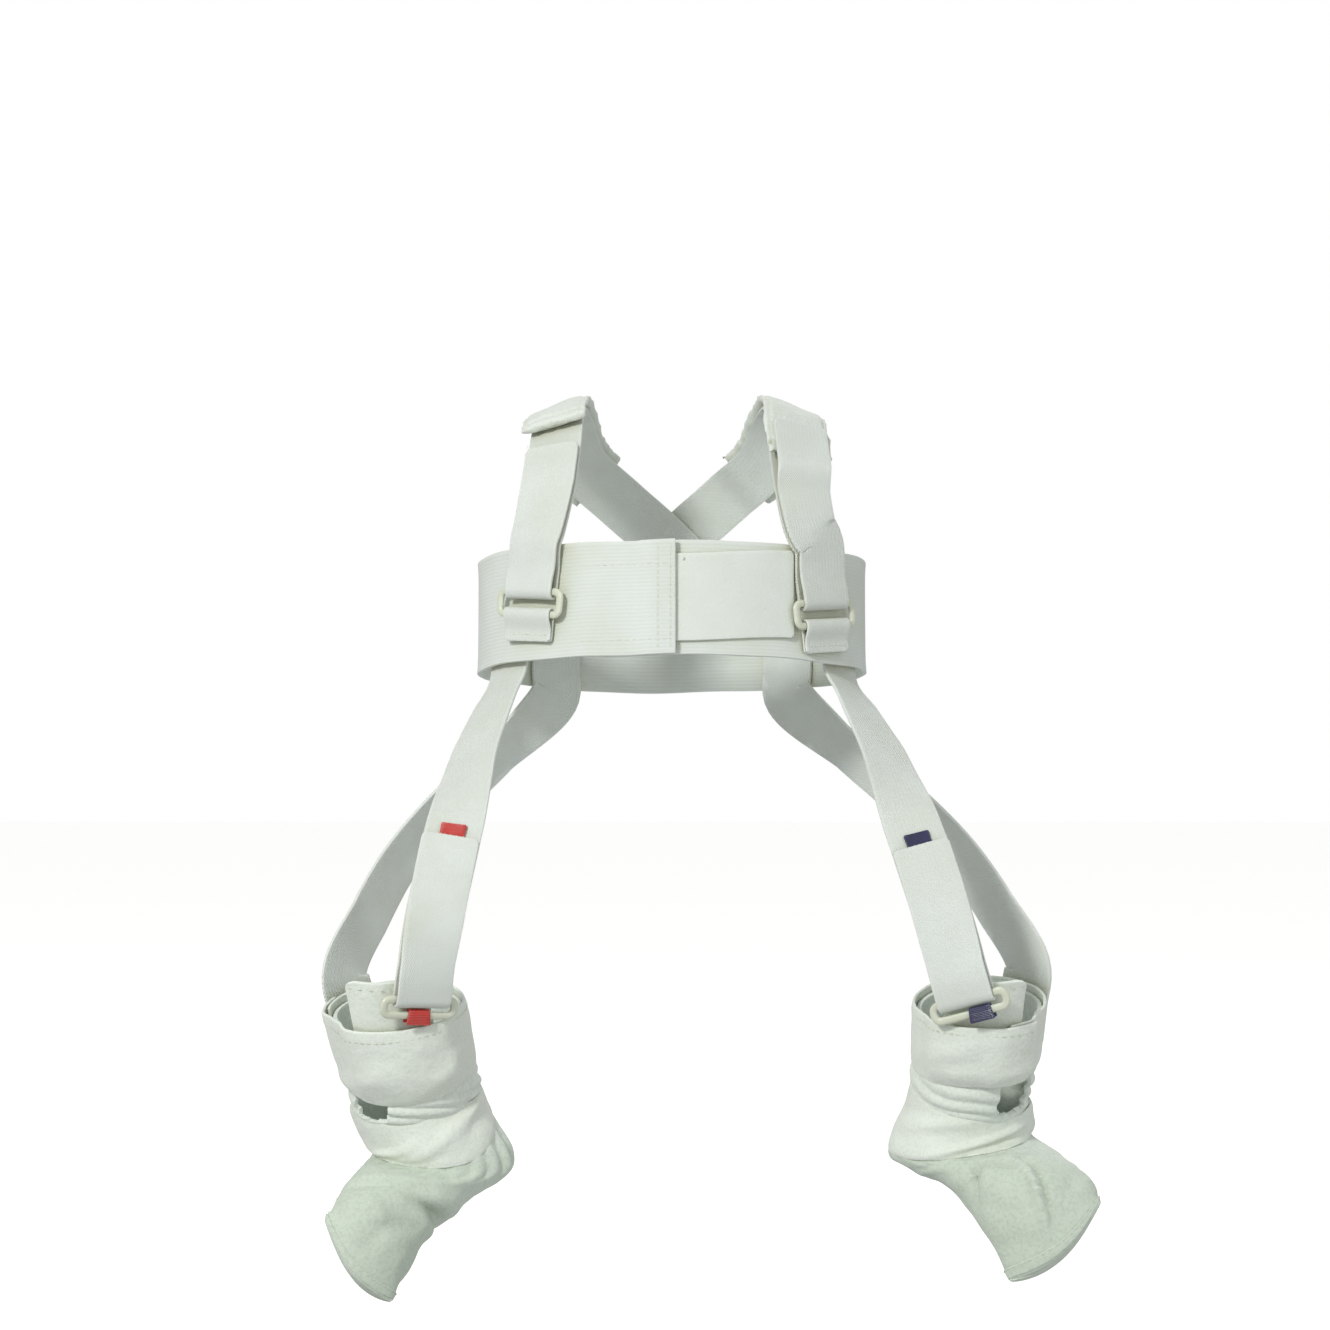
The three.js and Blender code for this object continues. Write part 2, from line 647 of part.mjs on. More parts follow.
for (const side of sides) {
  const { name, sign } = side;
  const onBand = (angle, height, lift) => chestPoint(sign * angle, height, lift);

  // Shoulder strap: up from the ring, over the shoulder, crossing behind, to the band's back
  const run = shoulderRun(side);
  const topAt = steps(0, run.length, 2).reduce((a, b) => (run.at(b).point.z > run.at(a).point.z ? b : a));
  const padFrom = side.padFront;
  const padTo = topAt + padBackLength;
  const crossAt = steps(topAt, run.length, 2).reduce((a, b) =>
    Math.abs(run.at(b).point.x) < Math.abs(run.at(a).point.x) ? b : a,
  );
  const crossLift = side.crossesOver ? webbingThickness + 6 * clearance : 0;
  const crossing = (d) => crossLift * (1 - ease(34, 50, Math.abs(d - crossAt)));
  const overPad = (d) => (padThickness + clearance) * ease(padFrom - 14, padFrom - 3, d);
  const nearRing = (d) => 1 - ease(4, 20, d);
  const outerRest = restLift + webbingThickness + layerGap;
  const ringCrown = (d) => (chestCrown(45) / 2) * ease(4, 14, d) * (1 - ease(padFrom - 20, padFrom, d));
  const strapFrames = foldedFrames({
    run,
    innerLength: run.length,
    returnLength: side.strapReturn,
    barLift: ringLift,
    radius: foldReach(webbingThickness),
    innerLift: (d) => restLift + crossing(d),
    outerLift: (d) => blend(outerRest, ringLift + foldReach(webbingThickness), nearRing(d)) + overPad(d),
    crown: ringCrown,
    spacing: 8,
  });
  const strap = strapBody(strapFrames, webbingWidth, webbingThickness);
  addPiece(`shoulder_strap_${name}`, strap, fabricColor, 0.9);

  // Shoulder pad on the webbing, with rounded long edges
  const padLift = restLift + webbingThickness / 2 + 2 * clearance + padThickness / 2;
  const padRings = steps(padFrom, padTo, 9).map((d) => {
    const place = run.at(d);
    const middle = shifted(place.point, place.normal, padLift + crossing(d));
    const corner = (across, through) =>
      shifted(middle, place.across, (across * padWidth) / 2).addScaledVector(
        place.normal,
        (through * padThickness) / 2,
      );
    return [
      corner(-0.86, -1),
      corner(0.86, -1),
      corner(1, -0.3),
      corner(1, 0.35),
      corner(0.8, 0.9),
      corner(0, 1),
      corner(-0.8, 0.9),
      corner(-1, 0.35),
      corner(-1, -0.3),
    ];
  });
  addPiece(`shoulder_pad_${name}`, ringBody(padRings, false), fabricColor, 0.95);

  // Ring on the band, hung from the strap's fold, and the keeper round its lower bar
  const start = run.at(0);
  const upperBar = shifted(start.point, start.normal, ringLift);
  const ringMiddle = shifted(upperBar, start.tangent, -barSpan / 2);
  addPiece(
    `shoulder_ring_${name}`,
    flatRing(ringHeight, ringMiddle, start.across, start.tangent, start.normal),
    ringColor,
    0.35,
  );
  const lowerPlace = shifted(start.point, start.tangent, -barSpan);
  const keeperRun = makeRun([
    { point: lowerPlace, normal: start.normal },
    { point: shifted(lowerPlace, start.tangent, -keeperLength / 2), normal: start.normal },
    { point: shifted(lowerPlace, start.tangent, -keeperLength), normal: start.normal },
  ]);
  const keeperRadius = foldReach(keeperThickness);
  const keeperRest = 2 * clearance + keeperThickness / 2;
  const keeperFrames = foldedFrames({
    run: keeperRun,
    innerLength: keeperLength,
    returnLength: keeperLength,
    barLift: ringLift,
    radius: keeperRadius,
    innerLift: (d) => blend(ringLift - keeperRadius, keeperRest, ease(0, 6, d)),
    outerLift: (d) =>
      blend(ringLift + keeperRadius, keeperRest + keeperThickness + clearance, ease(0, 8, d)),
    crown: () => 0,
    spacing: 2.5,
  });
  const keeper = strapBody(keeperFrames, webbingWidth, keeperThickness);
  addPiece(`ring_keeper_${name}`, keeper, fabricColor, 0.9);

  // Bootie with its shell, tab and wraps
  const bootie = makeBootie(side);
  addPiece(`bootie_shell_${name}`, bootieShellBody(bootie), footColor, 0.95);
  addPiece(`shin_tab_${name}`, shinTabBody(bootie), fabricColor, 0.95);
  addPiece(`calf_strap_${name}`, calfStrapBody(bootie, side), fabricColor, 0.95);
  addPiece(`ankle_strap_${name}`, ankleStrapBody(bootie, side), fabricColor, 0.95);

  // Ring on the shin tab: its lower bar stays above the calf strap's top edge
  const rowLength = bootie.point(1, 0, 0).distanceTo(bootie.point(0, 0, 0));
  const ringRow = 1 - (markerLoopLength + legBarSpan + 0.8) / rowLength;
  const tabFace = shinLift + shinTabThickness + 0.5;
  const tabPlace = bootie.point(ringRow, side.ringTurn, tabFace);
  const tabNormal = bootie.normal(ringRow, side.ringTurn);
  const tabUp = bootie.point(ringRow - 0.1, side.ringTurn, tabFace).sub(tabPlace).normalize();

  // Front leg strap: inside the band's lower edge, over the knee, down to the ring
  const insideLift = -(clearance + webbingThickness);
  const seat = (height) => ({
    point: onBand(side.seatAngle, height, insideLift),
    normal: chestNormal(sign * side.seatAngle),
  });
  const bandEdge = seat(-bandHeight / 2 - 3);
  bandEdge.normal = chestNormal(sign * (side.seatAngle - 4));
  const legWay = bandEdge.point.clone().sub(tabPlace);
  const legStations = [{ point: tabPlace, normal: tabNormal }];
  const leave = tabUp.clone().lerp(legWay.clone().normalize(), side.kneeLean).normalize();
  legStations.push({
    point: shifted(tabPlace, leave, 14).addScaledVector(tabNormal, tabStandOff),
    normal: tabNormal,
  });
  const kneeNormals = [
    vector(sign * 0.5, -0.8, 0.22),
    vector(sign * 0.1, -0.95, 0.3),
    vector(sign * -0.12, -0.97, 0.2),
  ];
  for (const [index, row] of [...frontLegRows.entries()].reverse()) {
    const point = shifted(tabPlace, legWay, 1 - row.along);
    point.x += sign * row.out * kneeBulge;
    point.y -= row.fore * kneeBulge;
    legStations.push({ point, normal: kneeNormals[index].normalize() });
  }
  legStations.push(bandEdge, seat(-bandHeight / 2 + 8), seat(0));
  const legRun = makeRun(legStations);
  const insideCrown = chestCrown(side.seatAngle);
  const legFrames = foldedFrames({
    run: legRun,
    innerLength: legRun.length,
    returnLength: side.legReturn,
    barLift: ringLift,
    radius: foldReach(webbingThickness),
    innerLift: (d) => restLift * (1 - ease(legRun.length - 50, legRun.length - 30, d)),
    outerLift: (d) => blend(outerRest, ringLift + foldReach(webbingThickness), nearRing(d)),
    crown: (d) => insideCrown * ease(legRun.length - 45, legRun.length - 24, d),
    spacing: 8,
  });
  const frontStrap = strapBody(legFrames, webbingWidth, webbingThickness);
  addPiece(`front_leg_strap_${name}`, frontStrap, fabricColor, 0.9);

  const legStart = legRun.at(0);
  const outwards = legStart.across.clone().multiplyScalar(Math.sign(legStart.across.x) * sign);
  const legUpperBar = shifted(legStart.point, legStart.normal, ringLift);
  const legRingMiddle = shifted(legUpperBar, legStart.tangent, -legBarSpan / 2).addScaledVector(
    outwards,
    side.ringShift,
  );
  addPiece(
    `leg_ring_${name}`,
    flatRing(legRingHeight, legRingMiddle, legStart.across, legStart.tangent, legStart.normal),
    ringColor,
    0.35,
  );

  // Marker patch between the strap and its free end
  const patchEnd = side.legReturn + markerShows;
  const patchLift = restLift + webbingThickness / 2 + clearance + markerThickness / 2;
  const patchFrames = steps(patchEnd - markerPatchLength, patchEnd, 4).map((d) =>
    strapFrame(legRun.at(d), patchLift, 1, 0),
  );
  const patch = strapBody(patchFrames, markerWidth, markerThickness);
  addPiece(`upper_marker_${name}`, patch, markerColors[name], 0.6);

  // Marker loop round the ring's lower bar
  const loopStart = shifted(legStart.point, legStart.tangent, -legBarSpan).addScaledVector(
    outwards,
    side.markerShift,
  );
  const loopRun = makeRun([
    { point: loopStart, normal: legStart.normal },
    { point: shifted(loopStart, legStart.tangent, -markerLoopLength / 2), normal: legStart.normal },
    { point: shifted(loopStart, legStart.tangent, -markerLoopLength), normal: legStart.normal },
  ]);
  const loopRadius = foldReach(markerThickness);
  const loopFrames = foldedFrames({
    run: loopRun,
    innerLength: markerLoopLength - 2 * clearance,
    returnLength: markerLoopLength - 2 * clearance,
    barLift: ringLift,
    radius: loopRadius,
    innerLift: (d) => blend(ringLift - loopRadius, clearance + 1.2, ease(0, markerLoopLength, d)),
    outerLift: () => ringLift + loopRadius,
    crown: () => 0,
    spacing: 1.5,
  });
  const loop = strapBody(loopFrames, markerWidth, markerThickness);
  addPiece(`lower_marker_${name}`, loop, markerColors[name], 0.4);

  // Back leg strap: inside the band's back, round the thigh, onto the calf strap's outer back
  const backAngle = 140;
  const backSeat = (height) => ({
    point: onBand(backAngle, height, insideLift),
    normal: chestNormal(sign * backAngle),
  });
  const backEdge = backSeat(-bandHeight / 2 - 3);
  const strapFace = clearance + wrapThickness + clearance + webbingThickness / 2;
  const backTurn = 138;
  const wrapPlace = (row) => ({
    point: bootie.point(row, backTurn, strapFace + wrapThickness + clearance),
    normal: bootie.normal(row, backTurn),
  });
  const target = wrapPlace(0.75);
  const backWay = target.point.clone().sub(backEdge.point);
  const backStations = [backSeat(0), backSeat(-bandHeight / 2 + 8), backEdge];
  for (const row of backLegRows) {
    const point = shifted(backEdge.point, backWay, row.along);
    point.x += sign * row.out * thighBulge;
    point.y -= row.fore * thighBulge;
    const lean = vector(sign * 0.5, 0.7, 0.5).lerp(target.normal, row.along ** 2);
    backStations.push({ point, normal: lean.normalize() });
  }
  backStations.push(target, wrapPlace(1.3), wrapPlace(1.9));
  const backRun = makeRun(backStations);
  const backCrown = chestCrown(backAngle);
  const backFrames = steps(0, backRun.length, 8).map((d) =>
    strapFrame(backRun.at(d), 0, 1, backCrown * (1 - ease(24, 45, d))),
  );
  const backStrap = strapBody(backFrames, webbingWidth, webbingThickness);
  addPiece(`back_leg_strap_${name}`, backStrap, fabricColor, 0.9);
}

export default group;
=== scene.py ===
import random
from bisect import bisect_left
from functools import lru_cache
from itertools import accumulate
from math import asin, ceil, cos, degrees, exp, pi, radians, sin, sqrt
from types import SimpleNamespace

import bpy
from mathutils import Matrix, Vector, noise


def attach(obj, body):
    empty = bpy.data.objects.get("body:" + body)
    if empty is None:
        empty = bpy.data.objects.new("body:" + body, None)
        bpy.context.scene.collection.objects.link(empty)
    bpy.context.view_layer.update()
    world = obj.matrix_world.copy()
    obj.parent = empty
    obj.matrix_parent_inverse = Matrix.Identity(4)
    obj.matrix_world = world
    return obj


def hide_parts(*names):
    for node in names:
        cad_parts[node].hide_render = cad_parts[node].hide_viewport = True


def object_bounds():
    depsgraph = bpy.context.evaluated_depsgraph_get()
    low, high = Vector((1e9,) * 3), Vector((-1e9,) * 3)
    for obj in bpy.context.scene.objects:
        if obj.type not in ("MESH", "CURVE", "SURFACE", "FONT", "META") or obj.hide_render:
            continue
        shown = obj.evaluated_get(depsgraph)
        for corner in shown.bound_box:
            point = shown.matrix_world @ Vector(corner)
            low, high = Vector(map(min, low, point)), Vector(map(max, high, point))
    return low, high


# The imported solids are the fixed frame; metres, +Z up, front at -Y
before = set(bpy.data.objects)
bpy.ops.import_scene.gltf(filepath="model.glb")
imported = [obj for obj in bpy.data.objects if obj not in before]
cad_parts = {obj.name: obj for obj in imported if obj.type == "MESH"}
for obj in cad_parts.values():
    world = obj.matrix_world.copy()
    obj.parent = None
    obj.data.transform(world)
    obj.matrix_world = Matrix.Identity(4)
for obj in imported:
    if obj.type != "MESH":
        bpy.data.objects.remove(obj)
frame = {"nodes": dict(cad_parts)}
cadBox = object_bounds()
rng = random.Random(11)
mm = 0.001

clearance = 0.35 * mm

# Chest band round a chest that leans back
halfBreadth = 86 * mm
halfDepth = 62 * mm
chestRecline = radians(8)
bandHeight = 51 * mm
bandThickness = 2 * mm
underEndLength = 32 * mm
seamAngle = 1
tabLength = 54.5 * mm
tabHeight = 39 * mm
tabThickness = 1.4 * mm
tabSewn = 9 * mm
tabRise = 3 * mm

# Webbing, pads, rings and markers
webbingWidth = 25 * mm
webbingThickness = 1.5 * mm
shoulderHeight = 91 * mm
padWidth = 34 * mm
padThickness = 5 * mm
padBackLength = 62 * mm
ringLength = 36 * mm
ringHeight = 13.6 * mm
legRingHeight = 10.2 * mm
ringCorner = 4.5 * mm
ringBarWidth = 3.4 * mm
ringBarThickness = 2.3 * mm
keeperLength = 12 * mm
keeperThickness = 1 * mm
markerWidth = 11.5 * mm
markerThickness = 0.8 * mm
markerPatchLength = 12 * mm
markerShows = 6.5 * mm
markerLoopLength = 4.5 * mm
ringShift = 0.8 * mm

# Booties and leg straps
calfWidth = 54 * mm
bootieHeight = 124 * mm
bootieForward = 96 * mm
bootieDown = 167.3 * mm
bootieWall = 1.8 * mm
toeRound = 8 * mm
wrapThickness = 2 * mm
visibleWrap = 1.4 * mm
shinTabThickness = 1.8 * mm
shinTabRise = 20 * mm
tabStandOff = 4.6 * mm
kneeBulge = 28 * mm
thighBulge = 13 * mm

foldRadius = ringBarThickness / 2 + clearance + webbingThickness / 2
layerGap = markerThickness + 2 * clearance
restLift = clearance + webbingThickness / 2
ringLift = restLift + foldRadius
barSpan = ringHeight - ringBarWidth
legBarSpan = legRingHeight - ringBarWidth
bandLift = bandThickness + clearance
edgeBelow = -bandHeight / 2 - 3 * mm
edgeAbove = -bandHeight / 2 + 8 * mm

sides = [
    SimpleNamespace(
        name="right", sign=-1, ringAcross=59.5 * mm, ringUp=5 * mm, edgeTurn=2.2, strapOut=0.5 * mm,
        strapReturn=68 * mm, padFront=78 * mm, crossesOver=False, out=119.3 * mm,
        ringTurn=-27, markerShift=1 * mm, legReturn=71.5 * mm,
        kneeLean=0.45, foldSlant=0.005, gathers=1, wrapDip=0.4, calfOverlap=(-268, 118),
        ankleTop=(2.8, 0.15, 0.15), ankleBottom=(3.62, 0.37, 0.38), seatAngle=61,
        ribbon="red_ribbon", teeth=0,
    ),
    SimpleNamespace(
        name="left", sign=1, ringAcross=64 * mm, ringUp=0.5 * mm, edgeTurn=2.5, strapOut=3 * mm,
        strapReturn=84 * mm, padFront=64 * mm, crossesOver=True, out=132.9 * mm,
        ringTurn=-16, markerShift=5 * mm, legReturn=68.5 * mm,
        kneeLean=0.62, foldSlant=-0.006, gathers=0.25, wrapDip=0, calfOverlap=(-340, 42),
        ankleTop=(2.75, 0.4, 0.2), ankleBottom=(3.88, 0.08, 0.36), seatAngle=65,
        ribbon="navy_ribbon", teeth=10,
    ),
]

# Bootie sections from shin to toe: out, outDown, inn, innDown, fore, deep and tilt; the downs in
# bootie heights, tilt in degrees by which the front of the section hangs, the others in calf widths
bootieRows = {
    "right": [
        (0.58, -0.19, -0.43, -0.19, 0.1, 0.52, 17),
        (0.515, 0.014, -0.515, -0.018, 0, 0.51, 17),
        (0.385, 0.235, -0.61, 0.226, -0.16, 0.48, 15),
        (0.33, 0.375, -0.69, 0.35, -0.26, 0.45, 12),
        (0.2, 0.516, -0.93, 0.57, -0.27, 0.43, 5),
        (0.285, 0.57, -0.62, 0.675, -0.1, 0.42, -8),
        (0.385, 0.627, -0.31, 0.775, 0.16, 0.39, -20),
        (0.46, 0.67, -0.15, 0.87, 0.38, 0.3, -30),
        (0.515, 0.71, -0.005, 0.995, 0.55, 0.075, -35),
    ],
    "left": [
        (0.535, -0.19, -0.49, -0.19, 0.1, 0.52, 17),
        (0.5, -0.024, -0.5, -0.007, 0, 0.51, 17),
        (0.445, 0.2, -0.51, 0.226, -0.16, 0.48, 15),
        (0.38, 0.339, -0.557, 0.37, -0.26, 0.45, 12),
        (0.42, 0.456, -0.715, 0.53, -0.27, 0.43, 5),
        (0.63, 0.524, -0.47, 0.59, -0.1, 0.42, -8),
        (0.77, 0.579, -0.21, 0.65, 0.16, 0.39, -20),
        (0.855, 0.613, 0, 0.765, 0.38, 0.3, -30),
        (0.9, 0.65, 0.19, 0.925, 0.55, 0.075, -35),
    ],
}

# Shoulder strap route above the band: across, back and up as shares of the chest's sizes
shoulderRows = [
    (0.665, -0.72, 0.44),
    (0.625, -0.62, 0.65),
    (0.6, -0.4, 0.84),
    (0.588, -0.15, 0.965),
    (0.575, 0.14, 1),
    (0.545, 0.42, 0.94),
    (0.48, 0.68, 0.78),
    (0.27, 0.95, 0.6),
    (0.03, 1.08, 0.4),
]
frontLegRows = [(0.25, 0.13, 0.35), (0.47, 0.12, 0.95), (0.72, 0.08, 0.72)]
kneeNormals = [(0.5, -0.8, 0.22), (0.1, -0.95, 0.3), (-0.12, -0.97, 0.2)]
backLegRows = [(0.2, 0.32, 0), (0.42, 0.89, 0.1), (0.6, 1, 0.12), (0.8, 0.64, 0)]


def linear(hexColor):
    channels = [int(hexColor[i:i + 2], 16) / 255 for i in (1, 3, 5)]
    return [c / 12.92 if c <= 0.04045 else ((c + 0.055) / 1.055) ** 2.4 for c in channels] + [1]


def blend(start, end, share):
    return start + (end - start) * share


def ease(low, high, value):
    t = min(max((value - low) / (high - low), 0), 1)
    return t * t * (3 - 2 * t)


def steps(start, end, spacing):
    count = max(1, ceil(abs(end - start) / spacing - 1e-9))
    return [blend(start, end, i / count) for i in range(count + 1)]


# How far along a line each of its points is
def distances(points):
    gaps = ((b - a).length for a, b in zip(points, points[1:]))
    return list(accumulate(gaps, initial=0))


# How much a rounded corner takes off the side, so near to the end
def cornerInset(corner, left):
    return corner - sqrt(corner ** 2 - (corner - max(left, 0)) ** 2) if left < corner else 0


# Smooth curve through points, the same spline as the solids use
def spline(points, centripetal):
    count = len(points)

    def pointAt(t):
        place = (count - 1) * t
        i = min(int(place), count - 2)
        w = place - i
        p1, p2 = points[i], points[i + 1]
        p0 = points[i - 1] if i > 0 else p1 * 2 - p2
        p3 = points[i + 2] if i + 2 < count else p2 * 2 - p1
        if centripetal:
            d1 = sqrt((p2 - p1).length) or 1
            d0 = sqrt((p1 - p0).length) or d1
            d2 = sqrt((p3 - p2).length) or d1
            t1 = ((p1 - p0) / d0 - (p2 - p0) / (d0 + d1) + (p2 - p1) / d1) * d1
            t2 = ((p2 - p1) / d1 - (p3 - p1) / (d1 + d2) + (p3 - p2) / d2) * d1
        else:
            t1 = (p2 - p0) / 2
            t2 = (p3 - p1) / 2
        c2 = (p2 - p1) * 3 - t1 * 2 - t2
        c3 = (p1 - p2) * 2 + t1 + t2
        return p1 + t1 * w + c2 * (w * w) + c3 * (w * w * w)

    return pointAt


def makeRun(stations):
    points = [s[0] for s in stations]
    normals = [s[1] for s in stations]
    curve = spline(points, True)
    parts = 400
    lengths = distances([curve(i / parts) for i in range(parts + 1)])

    def at(distance):
        goal = min(max(distance, 0), lengths[-1])
        i = min(max(bisect_left(lengths, goal), 1), parts)
        t = (i - 1 + (goal - lengths[i - 1]) / (lengths[i] - lengths[i - 1])) / parts
        low, high = max(0, t - 1e-4), min(1, t + 1e-4)
        tangent = (curve(high) - curve(low)).normalized()
        place = t * (len(normals) - 1)
        k = min(int(place), len(normals) - 2)
        hint = normals[k].lerp(normals[k + 1], place - k).normalized()
        across = tangent.cross(hint).normalized()
        normal = across.cross(tangent).normalized()
        return SimpleNamespace(point=curve(t), tangent=tangent, across=across, normal=normal)

    return SimpleNamespace(length=lengths[-1], at=at)


def chestPoint(angle, height, lift):
    a = radians(angle)
    flat = Vector((sin(a) / halfBreadth, -cos(a) / halfDepth, 0)).normalized()
    x = halfBreadth * sin(a) + flat.x * lift
    y = -halfDepth * cos(a) + flat.y * lift
    lean, rise = sin(chestRecline), cos(chestRecline)
    return Vector((x, y * rise + height * lean, height * rise - y * lean))


def chestNormal(angle):
    return (chestPoint(angle, 0, 1 * mm) - chestPoint(angle, 0, 0)).normalized()


def chestCrown(angle):
    across = halfBreadth * cos(radians(angle))
    along = halfDepth * sin(radians(angle))
    radius = (across ** 2 + along ** 2) ** 1.5 / (halfBreadth * halfDepth)
    return webbingWidth ** 2 / (8 * radius)


# One station of a strap: middle, directions across and through it, and how far its edges drop
def strapFrame(place, lift, side, crown):
    return place.point + place.normal * lift, place.across, place.normal * side, place.normal * -crown


def foldedFrames(run, innerLength, returnLength, radius, innerLift, outerLift, crown, spacing=2 * mm):
    start = run.at(0)
    frames = [strapFrame(run.at(d), innerLift(d), -1, crown(d)) for d in steps(innerLength, 0, spacing)]
    bar = start.point + start.normal * ringLift
    extra = (ringBarWidth - ringBarThickness) / 2
    for turn in range(-75, 90, 15):
        outward = start.normal * sin(radians(turn)) - start.tangent * cos(radians(turn))
        point = bar + outward * radius - start.tangent * (cos(radians(turn)) * extra)
        frames.append((point, start.across, outward, Vector()))
    frames += [strapFrame(run.at(d), outerLift(d), 1, crown(d)) for d in steps(0, returnLength, spacing)]
    return frames


def pathLength(frames):
    return distances([frame[0] for frame in frames])[-1]


def selectOnly(obj):
    bpy.ops.object.select_all(action="DESELECT")
    obj.select_set(True)
    bpy.context.view_layer.objects.active = obj


def smooth(piece):
    selectOnly(piece)
    bpy.ops.object.shade_smooth()


def editMode(on=True):
    bpy.ops.object.mode_set(mode="EDIT" if on else "OBJECT")


# A grid whose points are set by place(u, v); keep(u, v) says which faces stay
def gridPiece(name, columns, rows, place, flat, keep=None, weld=False):
    bpy.ops.object.select_all(action="DESELECT")
    bpy.ops.mesh.primitive_grid_add(x_subdivisions=columns, y_subdivisions=rows, size=1)
    piece = bpy.context.active_object
    piece.name = name
    mesh = piece.data
    mesh.name = name
    for corner in mesh.uv_layers.active.data:
        corner.uv = (corner.uv[0] * flat[0] / mm, corner.uv[1] * flat[1] / mm)
    if keep:
        editMode()
        bpy.ops.mesh.select_all(action="DESELECT")
        bpy.ops.mesh.select_mode(type="FACE")
        editMode(False)
        for face in mesh.polygons:
            face.select = not keep(face.center.x + 0.5, face.center.y + 0.5)
        editMode()
        bpy.ops.mesh.delete(type="FACE")
        editMode(False)
    for vertex in mesh.vertices:
        vertex.co = place(vertex.co.x + 0.5, vertex.co.y + 0.5)
    if weld:
        editMode()
        bpy.ops.mesh.select_all(action="SELECT")
        bpy.ops.mesh.remove_doubles(threshold=0.02 * mm)
        bpy.ops.mesh.normals_make_consistent(inside=False)
        editMode(False)
    return piece


def applyModifier(piece, kind, **values):
    selectOnly(piece)
    modifier = piece.modifiers.new(kind.lower(), kind)
    for key, value in values.items():
        setattr(modifier, key, value)
    bpy.ops.object.modifier_apply(modifier=modifier.name)


# Cloth gets its thickness and soft cut edges
def thicken(piece, thickness, edge=0.4 * mm, angle=45):
    applyModifier(piece, "SOLIDIFY", thickness=thickness, offset=0, use_even_offset=False)
    limits = {"limit_method": "ANGLE", "angle_limit": radians(50), "use_clamp_overlap": True}
    applyModifier(piece, "BEVEL", width=edge, segments=2, **limits)
    selectOnly(piece)
    bpy.ops.object.shade_smooth_by_angle(angle=radians(angle))


def strapPiece(name, frames, width, detail=None, cornerRound=1.5 * mm, waist=0, teeth=0):
    travelled = distances([frame[0] for frame in frames])
    length = travelled[-1]
    rows = len(frames) - 1

    def place(u, v):
        i = round(v * rows)
        point, across, through, droop = frames[i]
        s = (u - 0.5) * 2
        half = width / 2 - cornerInset(cornerRound, min(travelled[i], length - travelled[i]))
        half -= waist * sin(pi * travelled[i] / length)
        extra = detail(travelled[i], s) if detail else 0
        spot = point + across * (s * half) + droop * (s * s) + through * extra
        if teeth and i == rows:
            tooth = 1 - abs((u * teeth) % 1 - 0.5) * 2
            spot += (point - frames[-2][0]).normalized() * (tooth * 1.6 * mm)
        return spot

    columns = 2 * teeth or max(4, round(width / (1.8 * mm)))
    return gridPiece(name, columns, rows, place, (width, length))


# A tube along a line of points
def tubePiece(name, points, radius, sideCount=8, taper=0):
    rows = len(points) - 1

    def place(u, v):
        i = round(v * rows)
        along = (points[min(i + 1, rows)] - points[max(i - 1, 0)]).normalized()
        first = along.orthogonal().normalized()
        second = along.cross(first)
        size = radius * (1 - taper * i / rows)
        if i in (0, rows):
            size *= 0.25
        return points[i] + (first * cos(2 * pi * u) + second * sin(2 * pi * u)) * size

    flat = (2 * pi * radius, distances(points)[-1])
    piece = gridPiece(name, sideCount, rows, place, flat, weld=True)
    smooth(piece)
    return piece


# A row of sewn stitches, each a small rounded bar, from (point, along, normal) places
def stitchPiece(name, places, length, width):
    bpy.ops.object.select_all(action="DESELECT")
    bpy.ops.mesh.primitive_uv_sphere_add(segments=8, ring_count=6, radius=0.5)
    piece = bpy.context.active_object
    piece.name = name
    shape = [v.co.copy() for v in piece.data.vertices]
    faces = [tuple(f.vertices) for f in piece.data.polygons]
    points, polygons = [], []
    for point, along, normal in places:
        across = along.cross(normal).normalized()
        start = len(points)
        for co in shape:
            points.append(point + across * co.x * width + normal * co.y * width * 0.8 + along * co.z * length)
        polygons += [tuple(start + i for i in face) for face in faces]
    piece.data.clear_geometry()
    piece.data.from_pydata(points, [], polygons)
    piece.data.update()
    smooth(piece)
    return piece


# Stitch places along a line on a surface; pointAt(share) gives (point, normal)
def stitchLine(pointAt, pitch):
    count = max(2, int(pathLength([pointAt(i / 200) for i in range(201)]) / pitch))
    places = []
    for i in range(count):
        share = (i + 0.5) / count
        point, normal = pointAt(share)
        ahead = pointAt(min(share + 0.004, 1))[0] - pointAt(max(share - 0.004, 0))[0]
        places.append((point, ahead.normalized(), normal))
    return places


# Stitches that sew a strap's end down: a box round it and a cross inside
def sewnBox(run, start, end, lift):
    def place(d, s):
        spot = run.at(d)
        return spot.point + spot.across * (s * webbingWidth / 2) + spot.normal * lift, spot.normal

    corners = [(start, -0.8), (end, -0.8), (end, 0.8), (start, 0.8)]
    places = []
    for i, j in ((0, 1), (1, 2), (2, 3), (3, 0), (0, 2), (1, 3)):
        (d0, s0), (d1, s1) = corners[i], corners[j]
        places += stitchLine(lambda share: place(blend(d0, d1, share), blend(s0, s1, share)), 2.6 * mm)
    return places


# Materials

def setInputs(tree, node, inputs):
    for key, value in inputs.items():
        if isinstance(value, bpy.types.NodeSocket):
            tree.links.new(value, node.inputs[key])
        else:
            node.inputs[key].default_value = value


def addNode(tree, kind, inputs=None, output=0, **settings):
    node = tree.nodes.new(kind)
    for key, value in settings.items():
        setattr(node, key, value)
    setInputs(tree, node, inputs or {})
    return node.outputs[output]


